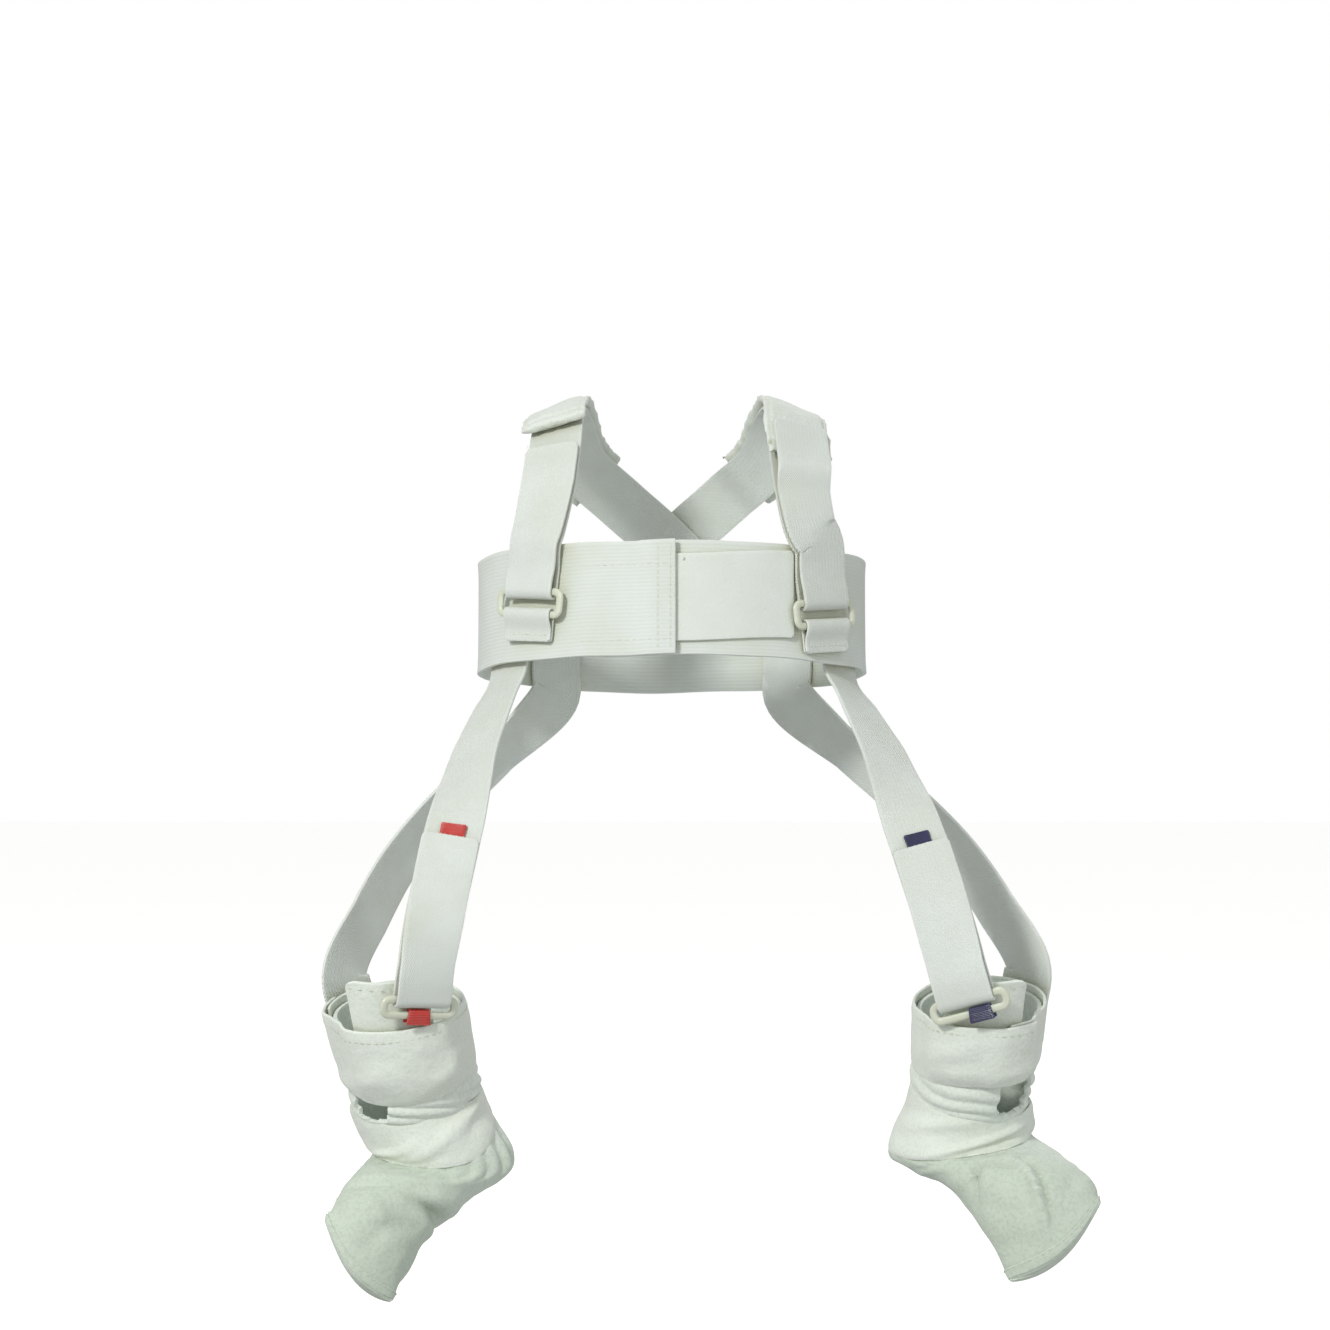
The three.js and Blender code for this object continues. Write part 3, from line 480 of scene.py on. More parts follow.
# A look says what goes into the shader, by a place on the piece
def newMaterial(name, look, *args):
    material = bpy.data.materials.new(name)
    material.use_nodes = True
    tree = material.node_tree
    place = addNode(tree, "ShaderNodeTexCoord", output="Object")
    setInputs(tree, tree.nodes["Principled BSDF"], look(tree, place, *args))
    return material


def mathNode(tree, operation, a, b=0.0):
    return addNode(tree, "ShaderNodeMath", {0: a, 1: b}, operation=operation)


def addLayer(tree, height, layer, amount):
    return mathNode(tree, "ADD", height, mathNode(tree, "MULTIPLY", layer, amount))


def mapRange(tree, value, low, high, start, end):
    return addNode(tree, "ShaderNodeMapRange", {0: value, 1: low, 2: high, 3: start, 4: end})


def mixColor(tree, factor, a, b, mode="MIX"):
    inputs = {0: factor, 6: linear(a) if isinstance(a, str) else a, 7: linear(b)}
    return addNode(tree, "ShaderNodeMix", inputs, 2, data_type="RGBA", blend_type=mode)


def noiseNode(tree, place, scale, detail=3, roughness=0.5):
    inputs = {"Vector": place, "Scale": scale, "Detail": detail, "Roughness": roughness}
    return addNode(tree, "ShaderNodeTexNoise", inputs, "Fac")


def bump(tree, height, strength, depth):
    return addNode(tree, "ShaderNodeBump", {"Strength": strength, "Distance": depth * mm, "Height": height})


def flatPlace(tree):
    return addNode(tree, "ShaderNodeUVMap", uv_map="UVMap")


def flatWays(tree):
    return addNode(tree, "ShaderNodeSeparateXYZ", {0: flatPlace(tree)}).node.outputs


# A wave along one flat direction, with a period in mm
def ribs(tree, way, period):
    return mathNode(tree, "SINE", mathNode(tree, "MULTIPLY", way, 2 * pi / period))


# Sharp edges and fold ridges, found by pointiness, turn towards a lighter colour: a painted highlight, on
# cloth also wear
def edgeWearAndHighlight(tree, color, edge, low, high, amount):
    sharp = addNode(tree, "ShaderNodeNewGeometry", output="Pointiness")
    return mixColor(tree, mapRange(tree, sharp, low, high, 0.0, amount), color, edge)


# Cloth colour: soft blotches of random tone, lighter sharp edges (partly wear, partly painted highlight) and
# painted shade, a yellowish tinge, in the hollows
def clothColor(tree, place, base, shade, edge, blotch=35):
    cloudy = mapRange(tree, noiseNode(tree, place, blotch, 4, 0.55), 0.35, 0.75, 0.0, 0.35)
    # Painted shade: ambient occlusion darkens the hollows towards the shade colour
    paintedHollowShade = addNode(tree, "ShaderNodeAmbientOcclusion", {"Distance": 12 * mm}, "AO", samples=4)
    tone = mixColor(tree, cloudy, base, shade)
    tone = mixColor(tree, mapRange(tree, paintedHollowShade, 0.25, 0.95, 0.75, 0.0), tone, shade)
    return edgeWearAndHighlight(tree, tone, edge, 0.51, 0.6, 0.6)


def wovenLook(tree, place, base, shade, edge):
    across, along, _ = flatWays(tree)
    wobble = mathNode(tree, "MULTIPLY", noiseNode(tree, place, 260, 2), 0.5)
    x, y = (mathNode(tree, "ADD", way, wobble) for way in (across, along))
    weave = mathNode(tree, "MULTIPLY", ribs(tree, x, 0.9), ribs(tree, y, 1.1))
    height = addLayer(tree, weave, ribs(tree, x, 1.8), 0.25)
    height = addLayer(tree, height, noiseNode(tree, place, 1400, 2), 0.8)
    middle = webbingWidth / mm / 2
    side = mathNode(tree, "ABSOLUTE", mathNode(tree, "SUBTRACT", across, middle))
    height = addLayer(tree, height, mathNode(tree, "GREATER_THAN", side, middle - 1.6), 1.2)
    color = clothColor(tree, place, base, shade, edge)
    # Painted shade between the crossing threads of the weave
    weaveShade = mapRange(tree, weave, -1.0, 0.2, 0.16, 0.0)
    return {
        "Base Color": mixColor(tree, weaveShade, color, shade, "MULTIPLY"),
        "Normal": bump(tree, height, 0.55, 0.22), "Roughness": 0.85,
        "Sheen Weight": 0.15, "Sheen Roughness": 0.5, "Specular IOR Level": 0.25,
    }


# Elastic band: ribs that run round the chest, crossed by fine knit lines
def elasticLook(tree, place, base, shade, edge):
    across, along, _ = flatWays(tree)
    wobble = mathNode(tree, "MULTIPLY", noiseNode(tree, place, 60, 2), 0.6)
    ribLine = ribs(tree, mathNode(tree, "ADD", across, wobble), 1.7)
    knit = ribs(tree, mathNode(tree, "ADD", along, wobble), 0.8)
    height = addLayer(tree, addLayer(tree, ribLine, knit, 0.3), noiseNode(tree, place, 1200, 2), 0.7)
    color = clothColor(tree, place, base, shade, edge)
    # Painted shade: the rib grooves are darkened towards the shade colour
    groove = mapRange(tree, ribLine, -1.0, -0.2, 0.07, 0.0)
    return {
        "Base Color": mixColor(tree, groove, color, shade, "MULTIPLY"),
        "Normal": bump(tree, height, 0.3, 0.12), "Roughness": 0.88, "Specular IOR Level": 0.2,
    }


# Heights between which the bootie cloth turns as pale as its wraps
paleFrom, paleTo = -0.236, -0.222


# Brushed cloth of pads and booties: no thread shows, only nap and small pills
def brushedLook(tree, place, base, shade, edge, nap=900, upper=None):
    fibres = noiseNode(tree, place, nap, 4, 0.7)
    pills = addNode(tree, "ShaderNodeTexVoronoi", {"Vector": place, "Scale": 420.0}, "Distance")
    height = addLayer(tree, addLayer(tree, fibres, noiseNode(tree, place, 140), 1.6), pills, -0.5)
    color = clothColor(tree, place, base, shade, edge, 22)
    if upper:
        up = addNode(tree, "ShaderNodeSeparateXYZ", {0: place}, 2)
        color = mixColor(tree, mapRange(tree, up, paleFrom, paleTo, 0.0, 0.85), color, upper)
    speck = mapRange(tree, fibres, 0.3, 0.56, 0.26, 0.0)
    return {
        "Base Color": mixColor(tree, speck, color, shade, "MULTIPLY"),
        "Normal": bump(tree, height, 0.5, 0.5), "Roughness": 0.95,
        "Sheen Weight": 0.3, "Specular IOR Level": 0.15,
    }


# Hook tape: close rows of tiny hooks that look smooth from afar, with a little dark lint
def hookLook(tree, place, base, shade, edge):
    hooks = addNode(tree, "ShaderNodeTexVoronoi", {"Vector": flatPlace(tree), "Scale": 1.1}, "Distance")
    height = mathNode(tree, "ADD", hooks, noiseNode(tree, place, 700, 2))
    lint = mapRange(tree, noiseNode(tree, place, 330, 2, 0.4), 0.74, 0.78, 0.0, 0.6)
    color = mixColor(tree, lint, clothColor(tree, place, base, shade, edge), "#7d776c")
    return {"Base Color": color, "Normal": bump(tree, height, 0.35, 0.25), "Roughness": 0.6}


def plasticLook(tree, place, base, shade):
    scuffs = noiseNode(tree, place, 1500, 3, 0.7)
    return {
        "Base Color": mixColor(tree, noiseNode(tree, place, 90), base, shade),
        "Roughness": mapRange(tree, scuffs, 0.3, 0.7, 0.25, 0.5), "Normal": bump(tree, scuffs, 0.2, 0.1),
        "Subsurface Weight": 0.15, "Subsurface Radius": (2 * mm, 1.6 * mm, 1 * mm), "Subsurface Scale": 1,
        "Coat Weight": 0.2,
    }


# Shiny ribbon with fine cross ribs, and a painted highlight on its sharp edges and folds
def ribbonLook(tree, place, base, shade, edge):
    color = mixColor(tree, noiseNode(tree, place, 300), base, shade)
    return {
        "Base Color": edgeWearAndHighlight(tree, color, edge, 0.52, 0.65, 0.5),
        "Normal": bump(tree, ribs(tree, flatWays(tree)[1], 0.7), 0.5, 0.15),
        "Roughness": 0.3, "Anisotropic": 0.4,
    }


def threadLook(tree, place, base, shade):
    wave = {"Vector": place, "Scale": 700.0, "Distortion": 1.0}
    twist = addNode(tree, "ShaderNodeTexWave", wave, "Fac", bands_direction="DIAGONAL")
    color = mixColor(tree, twist, base, shade)
    return {"Base Color": color, "Normal": bump(tree, twist, 0.4, 0.1), "Roughness": 0.6}


# Colours per row: base, darker shade (random blotches, and on cloth painted shade in hollows, grooves and
# weave) and lighter edge (painted highlight, on cloth also wear)
materials = {
    "elastic_band": newMaterial("ElasticBand", elasticLook, "#d6ddd9", "#bfc1a8", "#eef2ef"),
    "hook_tape": newMaterial("HookTape", hookLook, "#d8dfda", "#c6c8b6", "#ecf0ed"),
    "webbing": newMaterial("WovenWebbing", wovenLook, "#dce3df", "#c5c7b3", "#f2f6f3"),
    "pad_cloth": newMaterial("BrushedPadCloth", brushedLook, "#dbe2dc", "#c1c4b0", "#eff3ef"),
    "bootie_cloth": newMaterial("FootCloth", brushedLook, "#cbd6ca", "#a4b09c", "#d8e1d7", 650, "#e0e7e0"),
    "wrap_cloth": newMaterial("WrapCloth", brushedLook, "#e3eae3", "#c8cdb9", "#f3f7f3"),
    "ring_plastic": newMaterial("PalePlastic", plasticLook, "#d6dacd", "#c3c9b2"),
    "red_ribbon": newMaterial("RedRibbon", ribbonLook, "#d0443c", "#a52a25", "#f08d84"),
    "navy_ribbon": newMaterial("NavyRibbon", ribbonLook, "#35365f", "#1c2038", "#9a9dc2"),
    "thread": newMaterial("SewingThread", threadLook, "#e6ebe4", "#c9ccbc"),
}
print("materials ready:", len(materials))


def dress(piece, materialName, slotName=None, node=None):
    piece.data.materials.clear()
    piece.data.materials.append(materials[materialName])
    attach(piece, "root")
    slotName or materialName
    if node:
        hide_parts(node)


def sew(name, places, slotName, length=1.9, width=0.4):
    dress(stitchPiece(name, places, length * mm, width * mm), "thread", slotName)


# A strap, keeper or ribbon that follows its frames
def makeStrap(
    part, name, frames, kind="webbing", look="webbing", width=webbingWidth, thickness=webbingThickness,
    edge=0.4 * mm, held="stretched", restsOn="chest_band_cloth", **shape,
):
    strap = strapPiece(f"{part}_{kind}_{name}", frames, width, **shape)
    thicken(strap, thickness, edge)
    dress(strap, look, node=f"{part}_{name}")
    pathLength(frames)
    return strap


# Small uneven swell of handled cloth
def waver(point, scale, amount):
    return noise.noise(point * scale) * amount


# Chest band

tabTop = tabThickness + clearance
underEndAngle = -degrees(underEndLength / halfBreadth)
tabStartAngle = seamAngle - degrees(tabSewn / halfBreadth)
tabEndAngle = seamAngle + degrees(tabLength / halfBreadth)


def bandLiftAt(angle):
    overUnderEnd = bandLift * ease(360 + underEndAngle - 16, 360 + underEndAngle - 3, angle)
    overTab = tabTop * ease(360 + tabStartAngle - 6, 360 + tabStartAngle - 1, angle)
    return overUnderEnd + overTab


def makeChestBand():
    first, last = underEndAngle, 360 + seamAngle
    ring = [chestPoint(a, 0, bandLiftAt(a) + bandThickness / 2) for a in steps(first, last, 2)]
    length = distances(ring)[-1]

    def place(u, v):
        angle = blend(first, last, v)
        side = (u - 0.5) * 2
        edgeWave = sin(radians(angle * 5)) * 0.35 * mm + sin(radians(angle * 11 + 40)) * 0.2 * mm
        height = side * (bandHeight / 2) + edgeWave * side * side
        lift = bandLiftAt(angle) + bandThickness / 2
        free = ease(8, 30, angle) * (1 - ease(320, 345, angle))
        roll = abs(side) ** 6 * 0.5 * mm * free
        return chestPoint(angle, height, lift + roll)

    band = gridPiece("chest_band_cloth", 30, 300, place, (bandHeight, length))
    thicken(band, bandThickness, 0.5 * mm)
    dress(band, "elastic_band", node="chest_band")

    # Stitching: the folded outer end, and the two lines that hold the tab under it
    places = []
    top = bandHeight / 2 - 2.5 * mm
    seamTurn = 360 + seamAngle
    for back in (2.2 * mm, 7.5 * mm):
        angle = seamTurn - degrees(back / halfBreadth)

        def upright(share, angle=angle):
            lift = bandLiftAt(angle) + bandThickness + 0.1 * mm
            return chestPoint(angle, blend(-top, top, share), lift), chestNormal(angle)

        places += stitchLine(upright, 2.6 * mm)
    for height in (14.5 * mm, -19 * mm):

        def level(share, height=height):
            angle = seamTurn - blend(2, 28, share)
            lift = bandLiftAt(angle) + bandThickness + 0.05 * mm
            return chestPoint(angle, height, lift), chestNormal(angle)

        places += stitchLine(level, 3.1 * mm)
    sew("band_stitches", places, "elastic_band", 1.9, 0.42)


def makeClosureTab():
    length = tabLength + tabSewn

    def place(u, v):
        angle = blend(tabStartAngle, tabEndAngle, v)
        side = (u - 0.5) * 2
        rise = tabRise * ease(seamAngle, tabEndAngle, angle)
        fromEnd = (tabEndAngle - angle) * radians(1) * halfBreadth
        half = tabHeight / 2 - cornerInset(1.2 * mm, fromEnd)
        lifted = 0.5 * mm * ease(tabEndAngle - 5, tabEndAngle, angle) * (0.4 + 0.6 * abs(side))
        return chestPoint(angle, side * half + rise, bandLift + tabThickness / 2 + lifted)

    tab = gridPiece("closure_tab_tape", 22, 40, place, (tabHeight, length))
    thicken(tab, tabThickness, 0.35 * mm)
    dress(tab, "hook_tape", node="closure_tab")


makeChestBand()
makeClosureTab()
print("band ready")


# Booties

def makeBootie(side):
    out, outDown, inn, innDown, fore, deep, tilts = zip(*bootieRows[side.name])

    def placed(outward, drop, ahead):
        return Vector((
            side.sign * (side.out + outward * calfWidth),
            -(bootieForward + ahead * calfWidth),
            -(bootieDown + drop * bootieHeight),
        ))

    outer = spline([placed(*row) for row in zip(out, outDown, fore)], False)
    inner = spline([placed(*row) for row in zip(inn, innDown, fore)], False)
    depths = spline([Vector((d * calfWidth, tilt, 0)) for d, tilt in zip(deep, tilts)], False)
    last = len(out) - 1

    @lru_cache(maxsize=None)
    def section(row):
        share = min(max(row / last, 0), 1)
        o, i, d = outer(share), inner(share), depths(share)
        tilt = radians(d.y)
        return (o + i) / 2, (o - i) / 2, Vector((0, -d.x * cos(tilt), -d.x * sin(tilt)))

    ahead = (section(last)[0] - section(last - 1)[0]).normalized()

    def surface(row, turn, flat=1):
        middle, wide, deep = section(row)
        c, s = cos(radians(turn)), sin(radians(turn))
        toe = toeRound * ease(last - 1, last, row) * c * c
        return middle + ahead * toe + wide * s + deep * (c * flat)

    def normal(row, turn):
        down = surface(row + 0.04, turn) - surface(row - 0.04, turn)
        around = surface(row, turn + 1) - surface(row, turn - 1)
        return down.cross(around).normalized() * side.sign

    def point(row, turn, lift, flat=1):
        return surface(row, turn, flat) + normal(row, turn) * lift

    def spot(row, turn, lift):
        return point(row, turn, lift), normal(row, turn)

    return SimpleNamespace(point=point, normal=normal, spot=spot, surface=surface, last=last)


mouthRow = 1.12
calfTop, calfBottom = 1, 2
slitFrom, slitTo, slitBottom = 22, 62, 3
shinTabFrom, shinTabTo, shinTabBottom = -36, 34, 1.7
shinLift = clearance
overTabLift = shinLift + shinTabThickness + clearance + markerThickness + clearance
ankleTurns = (-262, 124)
foldPeriod = 0.36  # rows from one slanting fold to the next
hemTop, hemSeam, hemEdge = 7.8, 7.83, 7.985

# Folds of the foot: row, turn, half sizes in rows and degrees, slant, height in mm
footFolds = {
    "right": [
        (5.76, -62, 0.15, 42, -0.004, -3.4),
        (5.4, -62, 0.2, 40, -0.005, 2.2),
        (6.12, -66, 0.22, 36, -0.003, 2.2),
        (5.3, 18, 0.26, 42, 0.012, 1.4),
        (5.8, 34, 0.22, 36, 0.014, -1.2),
        (6.5, 5, 0.4, 30, -0.02, 1),
        (6.9, -25, 0.3, 24, 0.02, -0.8),
        (6.7, 55, 0.5, 22, 0.02, -0.9),
    ],
    "left": [
        (6.3, 3, 0.45, 15, -0.1, 2.4),
        (6.3, 11, 0.42, 15, -0.1, -2),
        (5.6, -32, 0.12, 27, -0.028, -2.5),
        (5.88, -30, 0.2, 25, -0.028, 1.6),
        (5.25, 40, 0.26, 38, 0.014, 1.3),
        (5.0, -72, 0.2, 26, 0, 1.3),
        (5.9, 52, 0.3, 26, 0.02, 0.9),
        (7, -42, 0.4, 22, 0.01, -0.8),
    ],
}


def foldLift(folds, row, turn):
    total = 0
    for r, t, rowSize, turnSize, slant, height in folds:
        a = (row - r - slant * (turn - t)) / rowSize
        b = (turn - t) / turnSize
        total += height * mm * exp(-a * a - b * b)
    return total


def calfRows(side, turn):
    return calfTop, calfBottom + side.wrapDip * max(0, cos(radians(turn - 30)))


def ankleRows(side, turn):
    c, s = cos(radians(turn)), sin(radians(turn))
    edges = (side.ankleTop, side.ankleBottom)
    return [middle + outward * s + ahead * c for middle, outward, ahead in edges]


def makeShell(bootie, side):
    last = bootie.last
    columns, rows, capRows = 120, 170, 5
    folds = footFolds[side.name]

    def unpack(u, v):
        i = round(v * rows)
        if i > rows - capRows:
            return last, (rows - i) / capRows
        return blend(mouthRow, last, i / (rows - capRows)), 1

    def place(u, v):
        row, flat = unpack(u, v)
        turn = (u * 360 + 180) % 360
        if turn > 180:
            turn -= 360
        wrapFrom, wrapTo = ankleRows(side, turn)
        bare = ease(wrapTo + 0.05, wrapTo + 0.7, row) * (1 - ease(7.4, 7.85, row))
        lift = foldLift(folds, row, turn) * bare
        base = bootie.surface(row, turn)
        lift += waver(base, 60, 1.5 * mm) * bare + waver(base, 150, 0.5 * mm) * bare

        # Cloth pushed out between the two wraps, in slanting folds
        calfEnd = calfRows(side, turn)[1]
        between = exp(-((row - (calfEnd + wrapFrom) / 2) / (0.5 * (wrapFrom - calfEnd + 0.15))) ** 4)
        slanted = sin(2 * pi * (row + side.foldSlant * turn) / foldPeriod + noise.noise(base * 70) * 2)
        overTab = ease(shinTabFrom - 26, shinTabFrom, turn) * (1 - ease(shinTabTo, shinTabTo + 22, turn))
        lift += between * (1.7 + 0.8 * overTab + 0.6 * slanted) * mm

        # Gathers below the ankle wrap, deepest at the heel
        gathered = exp(-((row - wrapTo - 0.3) / 0.42) ** 2) * ease(wrapTo - 0.2, wrapTo + 0.05, row)
        heel = 0.35 + 0.65 * exp(-((turn + 88) / 55) ** 2)
        pleats = sin(radians(turn * 19 + 60 * noise.noise(base * 50)))
        lift += pleats * 1.05 * mm * gathered * heel * side.gathers
        drop = exp(-((abs(turn) - 96) / 3) ** 2) * 0.6 * mm * ease(4.6, 5.2, row)
        return bootie.point(row, turn, -bootieWall / 2 + lift - drop, flat)

    def keep(u, v):
        row, flat = unpack(u, v)
        turn = (u * 360 + 180) % 360
        if not slitFrom < turn < slitTo:
            return True
        halfWay = (turn - (slitFrom + slitTo) / 2) / ((slitTo - slitFrom) / 2)
        return row > slitBottom - 0.25 * halfWay ** 4

    flat = (0.165, 0.2)
    piece = gridPiece(f"bootie_shell_cloth_{side.name}", columns, rows, place, flat, keep, weld=True)
    thicken(piece, bootieWall, 0.4 * mm, 60)
    dress(piece, "bootie_cloth", node=f"bootie_shell_{side.name}")

    # Toe hem, a folded strip sewn round the toe edge
    def hemPlace(u, v):
        return bootie.point(blend(hemTop, hemEdge, v), u * 360, (0.1 + 0.12 * sin(pi * v)) * mm)

    hem = gridPiece(f"toe_hem_{side.name}", 96, 6, hemPlace, (0.1, 0.005), weld=True)
    thicken(hem, 0.45 * mm, 0.15 * mm, 60)
    dress(hem, "bootie_cloth")
    places = stitchLine(lambda share: bootie.spot(hemSeam, share * 360, 0.5 * mm), 2.6 * mm)
    places += stitchLine(lambda share: bootie.spot(blend(4.9, 7.75, share), 88, 0.1 * mm), 3 * mm)
    sew(f"bootie_stitches_{side.name}", places, "bootie_cloth", 1.8)


# Where a wrap strap lies over its own start
def lapLift(start, turn):
    return (wrapThickness + clearance) * ease(start + 336, start + 356, turn)


def makeWrap(part, bootie, side, overlap, rowsAt, liftAt, folds, size, tuck):
    start, end = overlap

    def place(u, v):
        turn = blend(start, end, v)
        row = blend(*rowsAt(side, turn), u)
        lift = liftAt(turn, row) + lapLift(start, turn) + wrapThickness - visibleWrap / 2
        for at, spread, slant, height in folds:
            a = (u - at[1] - slant * (turn - at[0])) / 0.13
            b = (turn - at[0]) / spread
            lift += height * mm * exp(-a * a - b * b)
        base = bootie.surface(row, turn)
        lift += (noise.noise(base * 90) * 0.5 + noise.noise(base * 210) * 0.2) * mm
        lift -= tuck * max(2 * u - 1, 0) ** 5 + 0.5 * mm * max(1 - 2 * u, 0) ** 6
        return bootie.point(row, turn, lift)

    piece = gridPiece(f"{part}_cloth_{side.name}", 34, 190, place, size)
    wrapClothSheet(piece, part, side.name, visibleWrap, 0.55 * mm, size[1])


# Cloth laid on the bootie gets its thickness, soft edges and cloth
def wrapClothSheet(piece, part, name, thickness, edge, length):
    thicken(piece, thickness, edge, 60)
    dress(piece, "wrap_cloth", node=f"{part}_{name}")


calfFolds = {
    "right": [((-40, 0.62), 34, 0.006, 1), ((20, 0.5), 40, 0.005, 0.8), ((60, 0.8), 30, 0.004, 0.9)],
    "left": [((-30, 0.45), 40, -0.005, 0.9), ((40, 0.7), 34, -0.006, 0.8), ((75, 0.3), 25, 0.006, 0.7)],
}
ankleFolds = {
    "right": [((-50, 0.3), 30, 0.009, 1.6), ((-10, 0.5), 40, 0.008, 1.8), ((35, 0.65), 36, 0.008, 1.5)],
    "left": [((-40, 0.35), 36, -0.007, 1.7), ((10, 0.6), 40, -0.008, 1.8), ((50, 0.4), 30, -0.007, 1.2)],
}


def makeWraps(bootie, side):
    start, end = side.calfOverlap

    def calfLift(turn, row=calfTop):
        around = turn + 360 if turn < -180 else turn
        risen = ease(shinTabFrom - 26, shinTabFrom - 3, around)
        fallen = ease(shinTabTo + 3, shinTabTo + 22, around)
        overTab = risen * (1 - fallen) * (1 - 0.75 * ease(1.7, calfRows(side, turn)[1], row))
        return blend(clearance, overTabLift, overTab)

    def ankleLift(turn, row):
        return clearance - 0.6 * mm

    calf = (side.calfOverlap, calfRows, calfLift, calfFolds[side.name], (0.036, 0.21), 1 * mm)
    ankle = (ankleTurns, ankleRows, ankleLift, ankleFolds[side.name], (0.04, 0.19), 1.3 * mm)
    makeWrap("calf_strap", bootie, side, *calf)
    makeWrap("ankle_strap", bootie, side, *ankle)

    def calfHem(share):
        turn = blend(start + 110, end - 4, share)
        row = blend(*calfRows(side, turn), 0.12)
        return bootie.spot(row, turn, calfLift(turn) + wrapThickness + 0.1 * mm + lapLift(start, turn))

    def calfEnd(share):
        row, turn = blend(*calfRows(side, end), blend(0.08, 0.92, share)), end - 6
        return bootie.spot(row, turn, calfLift(turn) + 2 * wrapThickness + clearance)

    places = stitchLine(calfHem, 3 * mm) + stitchLine(calfEnd, 3 * mm)
    sew(f"wrap_stitches_{side.name}", places, "wrap_cloth")


def makeShinTab(bootie, side):
    topRow = max(0.02, calfTop - shinTabRise / (bootieHeight * 0.19))
    height = (bootie.surface(topRow, 0) - bootie.surface(shinTabBottom, 0)).length
    width = (bootie.surface(0.4, shinTabFrom) - bootie.surface(0.4, shinTabTo)).length

    def place(u, v):
        inset = cornerInset(4 * mm, v * height) / width
        turn = blend(shinTabFrom, shinTabTo, inset + u * (1 - 2 * inset))
        row = blend(topRow, shinTabBottom, v)
        outward = 0.8 * mm * (1 - ease(0, 0.35, v)) * abs(2 * u - 1) ** 2
        wave = waver(bootie.surface(row, turn), 80, 0.5 * mm) * (1 - ease(0.3, 0.5, v))
        return bootie.point(row, turn, shinLift + shinTabThickness / 2 + outward + max(wave, 0))

    piece = gridPiece(f"shin_tab_cloth_{side.name}", 30, 36, place, (width, height))
    wrapClothSheet(piece, "shin_tab", side.name, shinTabThickness, 0.45 * mm, height)
    margin = 2.4 * mm

    def edgeStitch(share):
        path = share * 2
        u = margin / width if path < 1 else path - 1
        turn = blend(shinTabFrom, shinTabTo, max(u, margin / width))
        row = blend(0.85, topRow + 0.12, min(path, 1))
        return bootie.spot(row, turn, shinLift + shinTabThickness + 0.75 * mm)

    sew(f"tab_stitches_{side.name}", stitchLine(edgeStitch, 3 * mm), "wrap_cloth", 1.9, 0.42)


# Rings and straps

def makeRing(part, name, height, start, shift=Vector()):
    across, along, normal = start.across, start.tangent, start.normal
    center = start.point + normal * ringLift - along * ((height - ringBarWidth) / 2) + shift
    bend = ringCorner - ringBarWidth / 2
    wide, tall = ringLength / 2 - ringCorner, height / 2 - ringCorner
    line = []
    for k, (a, b) in enumerate(((1, 1), (-1, 1), (-1, -1), (1, -1))):
        corner = center + across * (a * wide) + along * (b * tall)
        for turn in steps(90 * k, 90 * k + 90, 6):
            outward = across * cos(radians(turn)) + along * sin(radians(turn))
            line.append((corner + outward * bend, outward))
    line.append(line[0])
    rows = len(line) - 1

    def place(u, v):
        middle, outward = line[round(v * rows)]
        roll = 2 * pi * u
        square = 1 + 0.06 * sin(2 * roll) ** 2
        middle = middle + outward * (ringBarWidth / 2 * cos(roll) * square)
        return middle + normal * (ringBarThickness / 2 * sin(roll) * square)

    ring = gridPiece(f"{part}_plastic_{name}", 20, rows, place, (9 * mm, 85 * mm), weld=True)
    applyModifier(ring, "SUBSURF", levels=1)
    smooth(ring)
    dress(ring, "ring_plastic", node=f"{part}_{name}")


# Frayed ends: short threads that stand out of a cut edge
def makeFrays(name, frames, count, reach):
    point, across, through, _ = frames[-1]
    along = (point - frames[-3][0]).normalized()
    strands = []
    for i in range(count):
        s = blend(-0.95, 0.95, (i + 0.5) / count) + rng.uniform(-0.04, 0.04)
        root = point + across * (s * webbingWidth / 2) + through * rng.uniform(-0.4, 0.4) * mm
        length = reach * rng.uniform(0.4, 1)
        lean = across * rng.uniform(-0.5, 0.5) + through * rng.uniform(-0.15, 0.3)
        line = [root + along * (length * t) + lean * (length * t * t) for t in (0, 0.25, 0.5, 0.75, 1)]
        strands.append(tubePiece(f"{name}_{i}", line, 0.16 * mm, 5, 0.5))
    selectOnly(strands[0])
    for strand in strands:
        strand.select_set(True)
    bpy.ops.object.join()
    strands[0].name = name
    dress(strands[0], "thread", "webbing")



def strapWaver(seed, amount):
    def detail(distance, s):
        along = noise.noise(Vector((distance * 28, seed, 0)))
        edge = noise.noise(Vector((distance * 55, seed + 9, 0))) * s * s
        return (along * 0.3 + edge) * amount

    return detail


